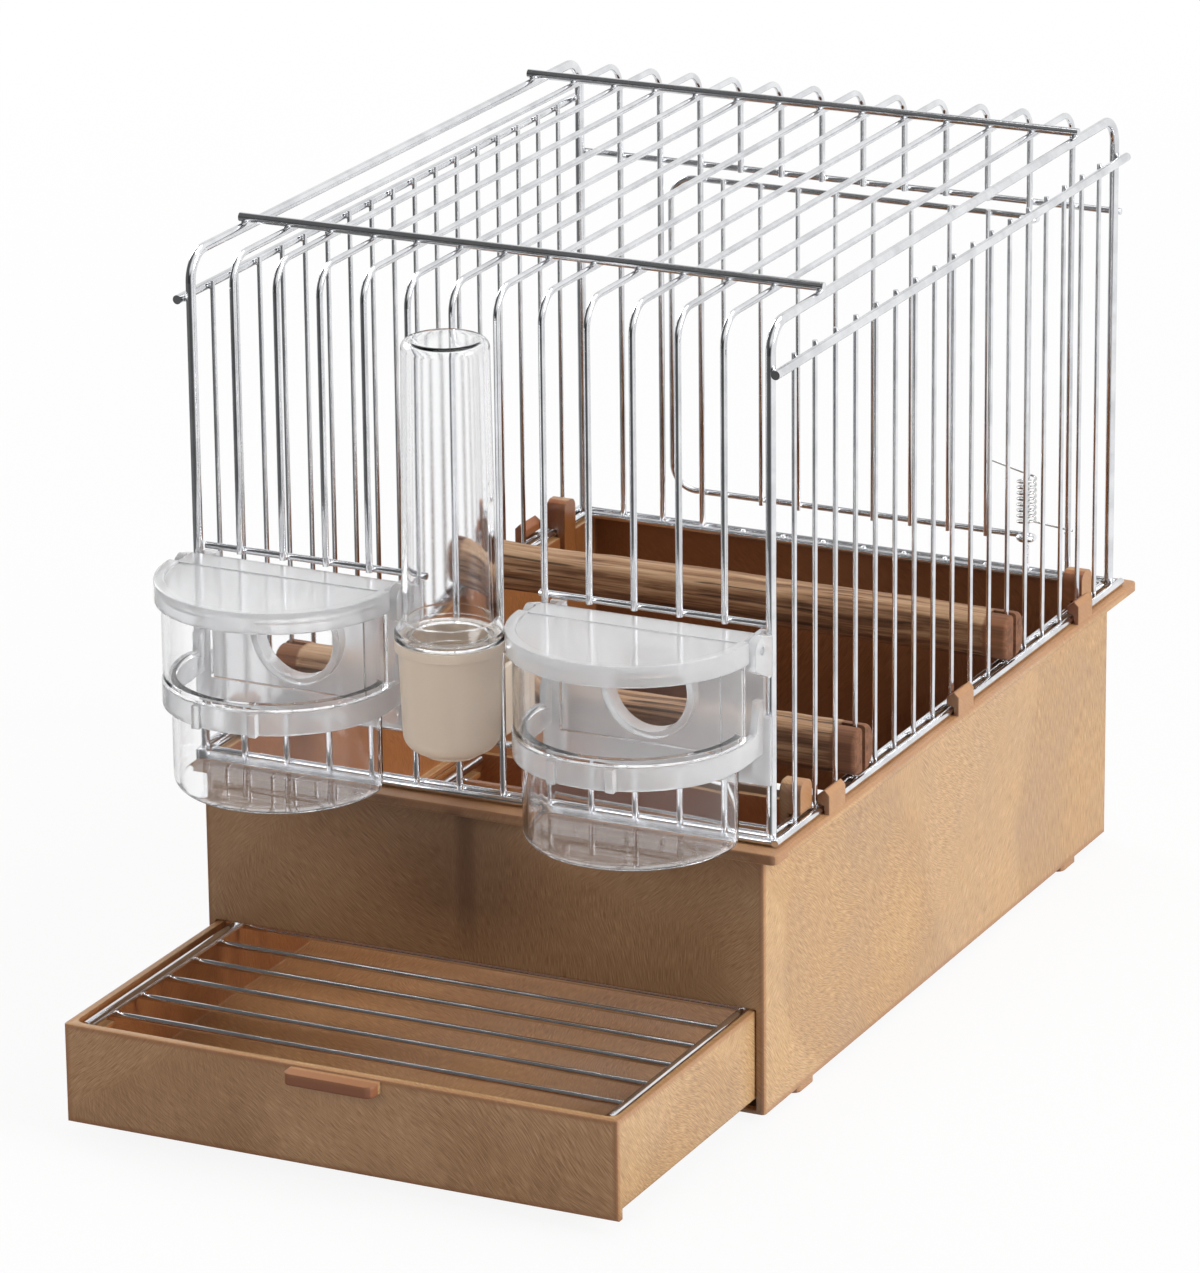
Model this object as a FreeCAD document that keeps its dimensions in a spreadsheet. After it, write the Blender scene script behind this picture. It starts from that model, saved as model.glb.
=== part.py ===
import FreeCAD, Part
import math
import os
from types import SimpleNamespace

import Sketcher
from FreeCAD import Placement, Rotation, Vector

# Driving sizes of the cage, in millimetres. X runs across the front, Y from front to back, Z up.
SIZES = {
    # Wire cage
    "hoop_count": 14,
    "row_inset": 5.55,
    "end_inset": 9.0,
    "cage_top": 227.0,
    "bend_radius": 8.0,
    "hoop_wire": 1.9,
    "corner_wire": 2.8,
    "side_wire": 1.4,
    "side_wire_count": 17,
    "rail_wire": 2.6,
    "bottom_wire": 2.2,
    "feeder_wire": 2.0,
    "weld_gap": 0.05,
    "wire_tip": 1.5,
    "weld_tip": 0.3,
    "side_rail_drop": 13.0,
    "rail_overhang": 1.6,
    "cross_rail_distance": 180.0,
    "lower_rail_rise": 16.0,
    "feeder_opening": 45.5,
    "back_rail_drop": 29.7,
    "feeder_bars": 6,
    # Moulded base
    "base_width": 173.4,
    "base_depth": 248.8,
    "base_wall": 2.5,
    "base_corner": 1.2,
    "base_inner_corner": 0.8,
    "flange_top": 81.0,
    "flange_thick": 3.0,
    "flange_overhang": 6.6,
    "flange_corner": 2.0,
    "flange_round": 0.5,
    "runner_width": 6.0,
    "runner_thick": 1.2,
    "runner_rise": 3.0,
    "guide_width": 2.5,
    "guide_thick": 1.5,
    "foot_height": 2.0,
    "foot_length": 12.0,
    "foot_width": 5.0,
    "foot_round": 2.25,
    "foot_inset": 2.7,
    "foot_distance": 192.0,
    "clip_count": 3,
    "clip_distance": 180.0,
    "clip_width": 11.0,
    "clip_wall": 1.4,
    "clip_gap": 0.3,
    "clip_height": 7.0,
    "clip_lip": 1.4,
    "tongue_height": 11.5,
    "tongue_gap": 2.2,
    "tongue_thick": 2.5,
    "tongue_proud": 1.6,
    "tongue_round": 3.0,
    "tongue_root": 12.0,
    # Drawer and its grille
    "drawer_height": 25.7,
    "front_drop": 3.0,
    "front_round": 0.6,
    "drawer_wall": 2.0,
    "drawer_front": 2.5,
    "drawer_floor": 1.8,
    "drawer_corner": 3.0,
    "drawer_gap": 0.4,
    "drawer_lift": 0.3,
    "drawer_head": 0.5,
    "drawer_tail": 0.6,
    "drawer_out": 86.0,
    "grip_width": 27.0,
    "grip_depth": 5.5,
    "grip_height": 3.2,
    "grip_drop": 0.6,
    "grip_round": 2.4,
    "ledge_width": 3.4,
    "ledge_length": 12.5,
    "ledge_thick": 1.6,
    "ledge_drop": 4.9,
    "grille_rail_wire": 2.8,
    "grille_wire": 1.8,
    "grille_count": 16,
    "grille_side_gap": 1.1,
    "grille_end_gap": 1.5,
    "grille_first": 3.1,
    "grille_last": 14.2,
    # Perches
    "perch_width": 14.4,
    "perch_prong": 2.6,
    "perch_slot_depth": 7.0,
    "perch_gap": 0.3,
    "perch_round": 1.6,
    "front_perch_number": 4,
    "rear_perch_number": 12,
    # Feeder holders, bowls and lids
    "panel_gap": 0.5,
    "panel_thick": 1.7,
    "panel_inset": 0.55,
    "panel_rail_gap": 0.5,
    "hole_margin": 10.75,
    "hole_lift": 2.75,
    "collar_wall": 2.0,
    "collar_depth": 3.5,
    "tab_overlap": 1.25,
    "lower_tab_share": 0.46,
    "upper_tab_share": 0.27,
    "hook_thick": 1.5,
    "hook_gap": 0.75,
    "hook_lip": 2.9,
    "bowl_radius": 32.6,
    "bowl_step": 2.2,
    "bowl_reach": 4.6,
    "bowl_wall": 1.5,
    "bowl_hang": 14.0,
    "bowl_drop": 3.1,
    "bowl_corner": 4.0,
    "bowl_round": 3.5,
    "bowl_notch": 24.0,
    "sill_rise": 12.0,
    "bowl_clear": 0.4,
    "belt_rise": 10.5,
    "belt_height": 6.5,
    "belt_wall": 2.2,
    "belt_gap": 0.3,
    "belt_rib": 0.6,
    "belt_rib_width": 2.4,
    "belt_rib_distance": 15.0,
    "gusset_height": 9.0,
    "gusset_depth": 4.0,
    "hinge_reach": 4.8,
    "hinge_drop": 3.9,
    "pin_radius": 1.1,
    "pin_gap": 0.1,
    "pin_length": 2.3,
    "ear_radius": 4.2,
    "ear_wall": 2.6,
    "ear_gap": 0.4,
    "lug_radius": 2.0,
    "lug_width": 4.0,
    "lid_radius": 34.4,
    "lid_thick": 1.5,
    "lid_rise": 0.1,
    "lid_back": 1.6,
    "skirt_depth": 5.5,
    "skirt_wall": 1.2,
    "rim_width": 3.0,
    "rim_rise": 0.5,
    "rim_round": 0.4,
    "lid_recess": 0.4,
    # Drinker
    "drinker_gap": 1.15,
    "drinker_rim": 15.2,
    "drinker_waist": 14.3,
    "drinker_foot": 8.2,
    "drinker_rise": 2.8,
    "drinker_foot_step": 1.2,
    "drinker_bend": 5.2,
    "drinker_band": 2.9,
    "drinker_height": 33.2,
    "drinker_wall": 1.4,
    "trough_half": 5.2,
    "trough_wall": 1.2,
    "trough_reach": 16.0,
    "trough_height": 20.0,
    "trough_seat": 0.3,
    "tube_gap": 0.3,
    "tube_height": 84.5,
    "tube_low_radius": 13.1,
    "tube_top_radius": 12.1,
    "tube_wall": 1.3,
    "tube_round": 2.6,
    "tube_collar": 2.0,
    "tube_shoulder": 3.4,
    "tube_mouth": 5.0,
    "tube_floor": 1.0,
    # Back door and its spring
    "door_hinge_hoop": 12,
    "door_first_hoop": 5,
    "door_latch_hoop": 3,
    "door_side_gap": 2.5,
    "door_lift": 12.0,
    "door_head": 4.8,
    "door_wire": 1.9,
    "door_bend": 8.0,
    "door_eye_gap": 0.3,
    "door_bar_count": 8,
    "door_bar_inset": 18.28,
    "spring_wire": 0.7,
    "spring_radius": 2.75,
    "spring_turns": 8,
    "spring_pitch": 1.8,
    "spring_lift": 4.6,
    "spring_hook": 2.2,
    "spring_bend": 1.0,
}

doc = FreeCAD.newDocument("songbird_display_cage")
sheet = doc.addObject("Spreadsheet::Sheet", "Sizes")
for row, (alias, number) in enumerate(SIZES.items(), start=1):
    sheet.set(f"A{row}", alias)
    sheet.set(f"B{row}", str(number))
    sheet.setAlias(f"B{row}", alias)
doc.recompute()


class Size:
    """A length that carries its number and its formula in the sheet's names."""

    def __init__(self, number, formula):
        self.number = float(number)
        self.formula = formula

    @staticmethod
    def of(other):
        return other if isinstance(other, Size) else Size(other, str(other))

    def joined(self, other, sign, number):
        return Size(number, f"({self.formula} {sign} {other.formula})")

    def __add__(self, other):
        other = Size.of(other)
        return self.joined(other, "+", self.number + other.number)

    def __radd__(self, other):
        return Size.of(other) + self

    def __sub__(self, other):
        other = Size.of(other)
        return self.joined(other, "-", self.number - other.number)

    def __rsub__(self, other):
        return Size.of(other) - self

    def __mul__(self, other):
        other = Size.of(other)
        return self.joined(other, "*", self.number * other.number)

    def __rmul__(self, other):
        return Size.of(other) * self

    def __truediv__(self, other):
        other = Size.of(other)
        return self.joined(other, "/", self.number / other.number)

    def __neg__(self):
        return Size(-self.number, f"(0 - {self.formula})")

    def root(self):
        return Size(math.sqrt(self.number), f"sqrt({self.formula})")


dim = SimpleNamespace(**{alias: Size(sheet.get(alias), f"Sizes.{alias}") for alias in SIZES})
ZERO = Size(0, "0")
FULL_TURN = 360.0
HALF_PI = math.pi / 2
TURN_TO = {
    "x": Rotation(Vector(0, 1, 0), 90),
    "y": Rotation(Vector(1, 0, 0), -90),
    "z": Rotation(),
}
pieces = []


def count(size):
    return int(round(size.number))


# Sizes that follow from the driving ones: the wire cage stands on the base,
# and the feeders, the drinker and the door hang on the wires.
base_half = dim.base_width / 2
base_end = dim.base_depth / 2
half_row = base_half + dim.flange_overhang - dim.row_inset
cage_end = base_end + dim.flange_overhang - dim.end_inset
dim.bar_pitch = half_row * 2 / (dim.hoop_count - 1)
dim.side_rail_height = dim.cage_top - dim.side_rail_drop
dim.back_rail_height = dim.cage_top - dim.back_rail_drop
dim.lower_rail_height = dim.flange_top + dim.lower_rail_rise
dim.feeder_rail_height = dim.lower_rail_height + dim.feeder_opening
dim.hole_radius = dim.feeder_opening / 2 - dim.hole_margin
dim.hole_height = dim.lower_rail_height + dim.feeder_opening / 2 + dim.hole_lift
dim.belt_low = dim.lower_rail_height + dim.belt_rise
dim.bowl_bottom = dim.lower_rail_height - dim.bowl_hang
dim.bowl_sill = dim.lower_rail_height + dim.sill_rise
dim.bowl_top = dim.feeder_rail_height - dim.bowl_drop
dim.hinge_height = dim.feeder_rail_height - dim.hinge_drop
dim.lid_top = dim.feeder_rail_height + dim.lid_rise
dim.drinker_low = dim.lower_rail_height + dim.drinker_rise
dim.drinker_top = dim.drinker_low + dim.drinker_height
dim.tube_top = dim.drinker_top + dim.tube_height
dim.door_width = dim.bar_pitch * (dim.door_hinge_hoop - dim.door_latch_hoop) - dim.door_side_gap
dim.door_low = dim.flange_top + dim.door_lift
dim.door_top = dim.back_rail_height - dim.door_head
dim.door_bar_pitch = (dim.door_width - dim.bar_pitch - dim.door_bar_inset) / (dim.door_bar_count - 1)
dim.spring_low = dim.door_low + dim.spring_lift


# The part's origin lies midway between the drawer's grip and the flange's back edge.
seat_y = (dim.drawer_out + dim.grip_depth - dim.flange_overhang) / 2

# Planes that the wires share: their outer sides lie flush at the front, back, sides and top.
hoop_face = cage_end + dim.hoop_wire / 2
top_face = dim.cage_top + dim.hoop_wire / 2
side_face = half_row + dim.corner_wire / 2
inner_face = hoop_face - dim.hoop_wire
corner_inner = hoop_face - dim.corner_wire
wire_foot = dim.flange_top + dim.clip_gap
side_step = (hoop_face * 2 - dim.corner_wire) / (dim.side_wire_count + 1)
side_wire_x = side_face - dim.side_wire / 2
bottom_rail_z = dim.flange_top + dim.bottom_wire / 2 + dim.weld_gap
outer_rail_x = side_face + dim.bottom_wire / 2 + dim.weld_gap
cut_back_end = dim.back_rail_height - dim.feeder_wire / 4
cut_front_end = dim.feeder_rail_height - dim.feeder_wire / 4


def bar_x(number):
    """Place across the front of a bar counted from the left."""
    return dim.bar_pitch * (number - 1) - half_row


def side_wire_y(number):
    """Place along the side of a side wire counted from the front."""
    return side_step * number - (hoop_face - dim.corner_wire / 2)


def bind(thing, **formulas):
    """Tie properties to the sheet; double underscores stand for dots."""
    for path, size in formulas.items():
        thing.setExpression(path.replace("__", "."), Size.of(size).formula)


def placed(thing, label, x=ZERO, y=ZERO, z=ZERO):
    """Name a finished piece and put it in the part's frame."""
    thing.Label = label
    bind(thing, Placement__Base__x=x, Placement__Base__y=seat_y + y, Placement__Base__z=z)
    pieces.append(thing)
    return thing


class Drawing:
    """A fully constrained sketch on one of its body's origin planes."""

    def __init__(self, body, name, role, offset=ZERO):
        plane = next(f for f in body.Origin.OriginFeatures if f.Role == role)
        self.sketch = body.newObject("Sketcher::SketchObject", name)
        self.sketch.AttachmentSupport = [(plane, "")]
        self.sketch.MapMode = "FlatFace"
        bind(self.sketch, AttachmentOffset__Base__z=offset)

    def tie(self, kind, *where, size=None):
        if size is None:
            return self.sketch.addConstraint(Sketcher.Constraint(kind, *where))
        index = self.sketch.addConstraint(Sketcher.Constraint(kind, *where, size.number))
        self.sketch.setExpression(f"Constraints[{index}]", size.formula)
        return index

    def pin(self, geometry, point, x, y):
        self.tie("DistanceX", -1, 1, geometry, point, size=Size.of(x))
        self.tie("DistanceY", -1, 1, geometry, point, size=Size.of(y))

    def circle(self, x, y, radius):
        centre = Vector(Size.of(x).number, Size.of(y).number, 0)
        index = self.sketch.addGeometry(Part.Circle(centre, Vector(0, 0, 1), radius.number))
        self.tie("Radius", index, size=radius)
        self.pin(index, 3, x, y)
        return self

    def loop(self, *stops):
        """Closed outline through stops: (x, y) by a line, or (x, y, centre, radius, turn) by an arc."""
        stops = [tuple(map(Size.of, stop[:2])) + tuple(stop[2:]) for stop in stops]
        ends = []
        for here, there in zip(stops[-1:] + stops[:-1], stops):
            start = Vector(here[0].number, here[1].number, 0)
            finish = Vector(there[0].number, there[1].number, 0)
            if len(there) == 2:
                index = self.sketch.addGeometry(Part.LineSegment(start, finish))
                ends.append((index, 1, 2))
                continue
            centre, radius, turn = there[2:]
            middle = Vector(Size.of(centre[0]).number, Size.of(centre[1]).number, 0)
            circle = Part.Circle(middle, Vector(0, 0, 1), radius.number)
            angles = [math.atan2(p.y - middle.y, p.x - middle.x) for p in (start, finish)]
            angles = angles if turn > 0 else angles[::-1]
            if angles[1] <= angles[0]:
                angles[1] += 2 * math.pi
            index = self.sketch.addGeometry(Part.ArcOfCircle(circle, *angles))
            ends.append((index, 1, 2) if turn > 0 else (index, 2, 1))
            half_circle = start.distanceToPoint(finish) > 1.999 * radius.number
            if half_circle:
                self.tie("DistanceY", -1, 1, index, 3, size=Size.of(centre[1]))
            else:
                self.tie("Radius", index, size=radius)
        for stop, (index, first, last), (after, start, _) in zip(stops, ends, ends[1:] + ends[:1]):
            self.tie("Coincident", index, last, after, start)
            self.pin(index, last, stop[0], stop[1])
        return self

    def rectangle(self, left, right, low, high):
        return self.loop((left, low), (right, low), (right, high), (left, high))

    def rounded(self, left, right, low, high, radius):
        """Rectangle whose corners are quarter circles."""
        in_left, in_right = left + radius, right - radius
        in_low, in_high = low + radius, high - radius
        return self.loop(
            (in_right, low),
            (right, in_low, (in_right, in_low), radius, 1),
            (right, in_high),
            (in_right, high, (in_right, in_high), radius, 1),
            (in_left, high),
            (left, in_high, (in_left, in_high), radius, 1),
            (left, in_low),
            (in_left, low, (in_left, in_low), radius, 1),
        )

    def mirrored_loop(self, *stops):
        """The same outline on both sides of the sketch's upright axis."""
        self.loop(*stops)
        flipped = []
        for stop in stops:
            x, y = -Size.of(stop[0]), stop[1]
            if len(stop) == 2:
                flipped.append((x, y))
            else:
                centre, radius, turn = stop[2:]
                flipped.append((x, y, (-Size.of(centre[0]), centre[1]), radius, -turn))
        return self.loop(*flipped)


def new_body(name):
    return doc.addObject("PartDesign::Body", name)


def pad(body, drawing, length, both_ways=False):
    feature = body.newObject("PartDesign::Pad", "Pad")
    feature.Profile = drawing.sketch
    feature.SideType = "Symmetric" if both_ways else "One side"
    bind(feature, Length=length)
    return feature


def pocket(body, drawing, length=None, both_ways=False):
    """Cut against the sketch's normal, by a length or right through, and make sure it cuts."""
    doc.recompute()
    before = body.Shape.Volume
    feature = body.newObject("PartDesign::Pocket", "Pocket")
    feature.Profile = drawing.sketch
    feature.SideType = "Symmetric" if both_ways else "One side"
    if length is None:
        feature.Type = "ThroughAll"
    else:
        bind(feature, Length=length)
    doc.recompute()
    if body.Shape.Volume >= before:
        raise RuntimeError(f"{drawing.sketch.Name} cuts nothing from {body.Name}")
    return feature


def turned(body, drawing, kind="Revolution"):
    """Revolve the drawing about its upright axis."""
    feature = body.newObject(f"PartDesign::{kind}", kind)
    feature.Profile = drawing.sketch
    feature.ReferenceAxis = (drawing.sketch, ["V_Axis"])
    feature.Angle = FULL_TURN
    return feature


def mirrored(body, features, role="YZ_Plane"):
    plane = next(f for f in body.Origin.OriginFeatures if f.Role == role)
    copy = body.newObject("PartDesign::Mirrored", "Mirrored")
    copy.Originals = features
    copy.MirrorPlane = (plane, [""])
    body.Tip = copy
    return copy


def fillet(body, radius, chosen):
    """Round the edges of the body that the test picks."""
    doc.recompute()
    base = body.Tip
    names = [f"Edge{i}" for i, edge in enumerate(base.Shape.Edges, start=1) if chosen(edge)]
    feature = body.newObject("PartDesign::Fillet", "Fillet")
    feature.Base = (base, names)
    bind(feature, Radius=radius)
    return feature


def level(edge, height):
    """True for an edge that lies at one height."""
    box = edge.BoundBox
    return abs(box.ZMin - height.number) < 1e-4 and abs(box.ZMax - height.number) < 1e-4


def rod(name, wire, length, axis, x, y, z):
    """A straight wire that starts at x, y, z and runs along an axis."""
    wire_rod = doc.addObject("Part::Cylinder", name)
    wire_rod.Placement = Placement(Vector(), TURN_TO[axis])
    bind(wire_rod, Radius=wire / 2, Height=length)
    bind(wire_rod, Placement__Base__x=x, Placement__Base__y=y, Placement__Base__z=z)
    return wire_rod


def bundle(label, rods, y=ZERO):
    """Separate wires that share a name."""
    group = doc.addObject("Part::Compound", label)
    group.Links = rods
    return placed(group, label, y=y)


def along_x(name, wire, reach, y, z):
    """A wire across the cage that reaches as far on each side of the middle."""
    return rod(name, wire, reach * 2, "x", -reach, y, z)


# Hoops: each is one wire, up the front, over the top and down the back
def hoop(label, number, wire, front_end, back_end):
    body = new_body(label)
    half = hoop_face - wire / 2
    top = top_face - wire / 2
    bend = dim.bend_radius
    path = Drawing(body, f"{label}_path", "YZ_Plane")
    h, t, b = half.number, top.number, bend.number
    normal = Vector(0, 0, 1)
    front_bend = Part.Circle(Vector(b - h, t - b, 0), normal, b)
    back_bend = Part.Circle(Vector(h - b, t - b, 0), normal, b)
    sketch = path.sketch
    front = sketch.addGeometry(
        Part.LineSegment(Vector(-h, front_end.number, 0), Vector(-h, t - b, 0))
    )
    first = sketch.addGeometry(Part.ArcOfCircle(front_bend, HALF_PI, 2 * HALF_PI))
    run = sketch.addGeometry(Part.LineSegment(Vector(b - h, t, 0), Vector(h - b, t, 0)))
    second = sketch.addGeometry(Part.ArcOfCircle(back_bend, 0, HALF_PI))
    back = sketch.addGeometry(
        Part.LineSegment(Vector(h, t - b, 0), Vector(h, back_end.number, 0))
    )
    path.tie("Tangent", front, 2, first, 2)
    path.tie("Tangent", first, 1, run, 1)
    path.tie("Tangent", run, 2, second, 2)
    path.tie("Tangent", second, 1, back, 1)
    path.tie("Vertical", front)
    path.tie("Horizontal", run)
    path.tie("Vertical", back)
    path.tie("Radius", first, size=bend)
    path.tie("Radius", second, size=bend)
    path.pin(front, 1, -half, front_end)
    path.tie("DistanceY", -1, 1, run, 1, size=top)
    path.pin(back, 2, half, back_end)
    section = Drawing(body, f"{label}_section", "XY_Plane", front_end).circle(ZERO, -half, wire / 2)
    pipe = body.newObject("PartDesign::AdditivePipe", f"{label}_wire")
    pipe.Profile = section.sketch
    pipe.Spine = path.sketch
    return placed(body, label, x=bar_x(number))


last_hoop = count(dim.hoop_count)
opening_bars = count(dim.feeder_bars)
door_hinge_hoop = count(dim.door_hinge_hoop)
cut_bars = [n for n in range(2, opening_bars)] + [
    last_hoop + 1 - n for n in range(opening_bars - 1, 1, -1)
]
for number in range(1, last_hoop + 1):
    corner = number in (1, last_hoop)
    behind_door = count(dim.door_first_hoop) <= number < door_hinge_hoop
    hoop(
        f"corner_hoop_{'left' if number == 1 else 'right'}" if corner else f"hoop_{number:02d}",
        number,
        dim.corner_wire if corner else dim.hoop_wire,
        cut_front_end if number in cut_bars else wire_foot,
        cut_back_end if behind_door else wire_foot,
    )

# Short bars under the two feeder openings
stub_top = dim.lower_rail_height + dim.feeder_wire / 2 + dim.weld_tip
stubs = [
    rod(
        f"stub_{number}", dim.hoop_wire, stub_top - wire_foot, "z",
        bar_x(number), dim.hoop_wire / 2 - hoop_face, wire_foot,
    )
    for number in cut_bars
]
half_stubs = len(stubs) // 2
bundle("front_stubs_left", stubs[:half_stubs])
bundle("front_stubs_right", stubs[half_stubs:])

# Two bars across the roof and the rails along the sides
cross_z = top_face + dim.rail_wire / 2 + dim.weld_gap
for label, sign in (("front_cross_bar", -1), ("rear_cross_bar", 1)):
    bar = along_x(label, dim.rail_wire, side_face, ZERO, ZERO)
    placed(bar, label, x=-side_face, y=dim.cross_rail_distance / 2 * sign, z=cross_z)

side_rail_x = side_face + dim.rail_wire / 2 + dim.weld_gap
rail_reach = hoop_face + dim.rail_overhang
side_wire_top = dim.side_rail_height + dim.rail_wire / 2 + dim.weld_tip
for side, sign in (("left", -1), ("right", 1)):
    rail = rod(f"side_top_rail_{side}", dim.rail_wire, rail_reach * 2, "y", ZERO, ZERO, ZERO)
    placed(rail, f"side_top_rail_{side}", x=side_rail_x * sign, y=-rail_reach, z=dim.side_rail_height)
    wires = [
        rod(
            f"side_wire_{side}_{number}", dim.side_wire, side_wire_top - wire_foot, "z",
            side_wire_x * sign, side_wire_y(number), wire_foot,
        )
        for number in range(1, count(dim.side_wire_count) + 1)
    ]
    bundle(f"side_wires_{side}", wires)

# Doubled rails at the foot of each side, one outside the uprights and one inside
outer_y = hoop_face + dim.bottom_wire / 2 + dim.weld_gap
inner_y = inner_face - dim.bottom_wire / 2 - dim.weld_gap
inner_x = side_face - dim.side_wire - dim.bottom_wire / 2 - dim.weld_gap
end_reach = half_row - dim.corner_wire / 2 - dim.clip_gap
side_inner_reach = inner_y - dim.bottom_wire / 2 - dim.clip_gap
for side, sign in (("front", -1), ("back", 1)):
    outer = along_x(
        f"{side}_outer_rail", dim.bottom_wire, side_face - dim.weld_gap, outer_y * sign, bottom_rail_z
    )
    inner = along_x(f"{side}_inner_rail", dim.bottom_wire, end_reach, inner_y * sign, bottom_rail_z)
    bundle(f"bottom_rails_{side}", [outer, inner])
for side, sign in (("left", -1), ("right", 1)):
    reach = outer_y + dim.bottom_wire / 2
    outer = rod(
        f"{side}_outer_rail", dim.bottom_wire, reach * 2, "y", outer_rail_x * sign, -reach, bottom_rail_z
    )
    inner = rod(
        f"{side}_inner_rail", dim.bottom_wire, side_inner_reach * 2, "y",
        inner_x * sign, -side_inner_reach, bottom_rail_z,
    )
    bundle(f"bottom_rails_{side}", [outer, inner])

# Rails over and under the feeder openings, and the rail over the back door
front_rail_y = dim.feeder_wire / 2 + dim.weld_gap - inner_face
rail_stop = bar_x(opening_bars) + dim.hoop_wire / 2 + dim.wire_tip
for side, start in (("left", -end_reach), ("right", -rail_stop)):
    rail = rod(f"feeder_rail_{side}", dim.feeder_wire, rail_stop + end_reach, "x", ZERO, ZERO, ZERO)
    placed(rail, f"feeder_rail_{side}", x=start, y=front_rail_y, z=dim.feeder_rail_height)
lower_rail = along_x("front_lower_rail", dim.feeder_wire, end_reach, ZERO, ZERO)
placed(lower_rail, "front_lower_rail", x=-end_reach, y=front_rail_y, z=dim.lower_rail_height)
back_rail = along_x("back_rail", dim.feeder_wire, side_face, ZERO, ZERO)
placed(
    back_rail, "back_rail",
    x=-side_face, y=hoop_face + dim.feeder_wire / 2 + dim.weld_gap, z=dim.back_rail_height,
)

# Moulded base
inside_half = base_half - dim.base_wall
inside_end = base_end - dim.base_wall
runner_low = dim.foot_height + dim.runner_rise
drawer_low = runner_low + dim.runner_thick + dim.drawer_lift
front_low = drawer_low - dim.front_drop
drawer_top = drawer_low + dim.drawer_height
guide_low = drawer_top + dim.drawer_head


def make_base():
    body = new_body("base")
    walls = Drawing(body, "walls", "XY_Plane", dim.foot_height)
    walls.rounded(-base_half, base_half, -base_end, base_end, dim.base_corner)
    pad(body, walls, dim.flange_top - dim.foot_height)
    flange_half = base_half + dim.flange_overhang
    flange_end = base_end + dim.flange_overhang
    flange = Drawing(body, "flange", "XY_Plane", dim.flange_top - dim.flange_thick)
    flange.rounded(-flange_half, flange_half, -flange_end, flange_end, dim.flange_corner)
    pad(body, flange, dim.flange_thick)
    doc.recompute()

    def flange_rim(edge):
        middle = edge.BoundBox.Center
        outside = abs(middle.x) > base_half.number + 1 or abs(middle.y) > base_end.number + 1
        return outside and (level(edge, dim.flange_top) or level(edge, dim.flange_top - dim.flange_thick))

    fillet(body, dim.flange_round, flange_rim)
    cavity = Drawing(body, "cavity", "XY_Plane", dim.flange_top)
    cavity.rounded(
        -inside_half, inside_half, -inside_end, inside_end, dim.base_inner_corner
    )
    pocket(body, cavity)

    # Ledges that carry the drawer and guides that keep it from tipping
    in_wall = dim.base_wall / 2
    runners = Drawing(body, "runners", "XY_Plane", runner_low)
    runners.rectangle(
        inside_half - dim.runner_width, inside_half + in_wall, -inside_end - in_wall, inside_end + in_wall
    )
    runners.rectangle(
        -inside_half - in_wall, dim.runner_width - inside_half, -inside_end - in_wall, inside_end + in_wall
    )
    pad(body, runners, dim.runner_thick)
    guides = Drawing(body, "guides", "XY_Plane", guide_low)
    guides.rectangle(
        inside_half - dim.guide_width, inside_half + in_wall, -inside_end - in_wall, inside_end + in_wall
    )
    guides.rectangle(
        -inside_half - in_wall, dim.guide_width - inside_half, -inside_end - in_wall, inside_end + in_wall
    )
    pad(body, guides, dim.guide_thick)

    # Mouth for the drawer
    mouth = Drawing(body, "mouth", "XZ_Plane", base_end + dim.base_wall)
    mouth.rectangle(-inside_half, inside_half, front_low - dim.drawer_lift, guide_low)
    pocket(body, mouth, dim.base_wall * 2 + dim.base_inner_corner)

    # Hooks on the flange, each turned in over the outer bottom rail
    hook_face = outer_rail_x + dim.bottom_wire / 2 + dim.clip_gap
    hook_back = hook_face + dim.clip_wall
    hook_tip = side_face + dim.clip_gap
    hook_low = dim.flange_top - dim.flange_thick / 2
    hook_top = dim.flange_top + dim.clip_height
    lip_low = bottom_rail_z + dim.bottom_wire / 2 + dim.clip_gap
    clips = Drawing(body, "clips", "XZ_Plane", dim.clip_distance / 2)
    clips.mirrored_loop(
        (hook_face, hook_low),
        (hook_back, hook_low),
        (hook_back, hook_top - dim.clip_lip),
        (hook_face, hook_top),
        (hook_tip, lip_low + dim.clip_lip * 2),
        (hook_tip, lip_low + dim.clip_lip / 2),
        (hook_face, lip_low),
    )
    first_clips = pad(body, clips, dim.clip_width, both_ways=True)
    row = body.newObject("PartDesign::LinearPattern", "ClipRow")
    row.Originals = [first_clips]
    row.Direction = (next(f for f in body.Origin.OriginFeatures if f.Role == "Y_Axis"), [""])
    bind(row, Length=dim.clip_distance)
    row.Occurrences = count(dim.clip_count)
    body.Tip = row

    # Round-topped tongues that stand inside and reach out between the first two wires at each corner
    tongue_low = dim.flange_top - dim.tongue_root
    tongue_top = dim.flange_top + dim.tongue_height
    head_low = bottom_rail_z + dim.bottom_wire / 2 + dim.clip_gap
    middle = hoop_face - dim.corner_wire / 2 - side_step * 1.5
    half_width = (side_step - dim.side_wire) / 2 - dim.tongue_gap
    near, far, bend = middle - half_width, middle + half_width, dim.tongue_round

    def tongue(name, low, thick):
        face = Drawing(body, name, "YZ_Plane", inside_half - dim.tongue_proud)
        face.mirrored_loop(
            (near, low),
            (far, low),
            (far, tongue_top - bend),
            (far - bend, tongue_top, (far - bend, tongue_top - bend), bend, 1),
            (near + bend, tongue_top),
            (near, tongue_top - bend, (near + bend, tongue_top - bend), bend, 1),
        )
        return pad(body, face, thick)

    stems = tongue("tongue_stems", tongue_low, dim.tongue_thick)
    heads = tongue("tongue_heads", head_low, side_face - dim.clip_gap - inside_half + dim.tongue_proud)
    mirrored(body, [stems, heads])

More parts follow.
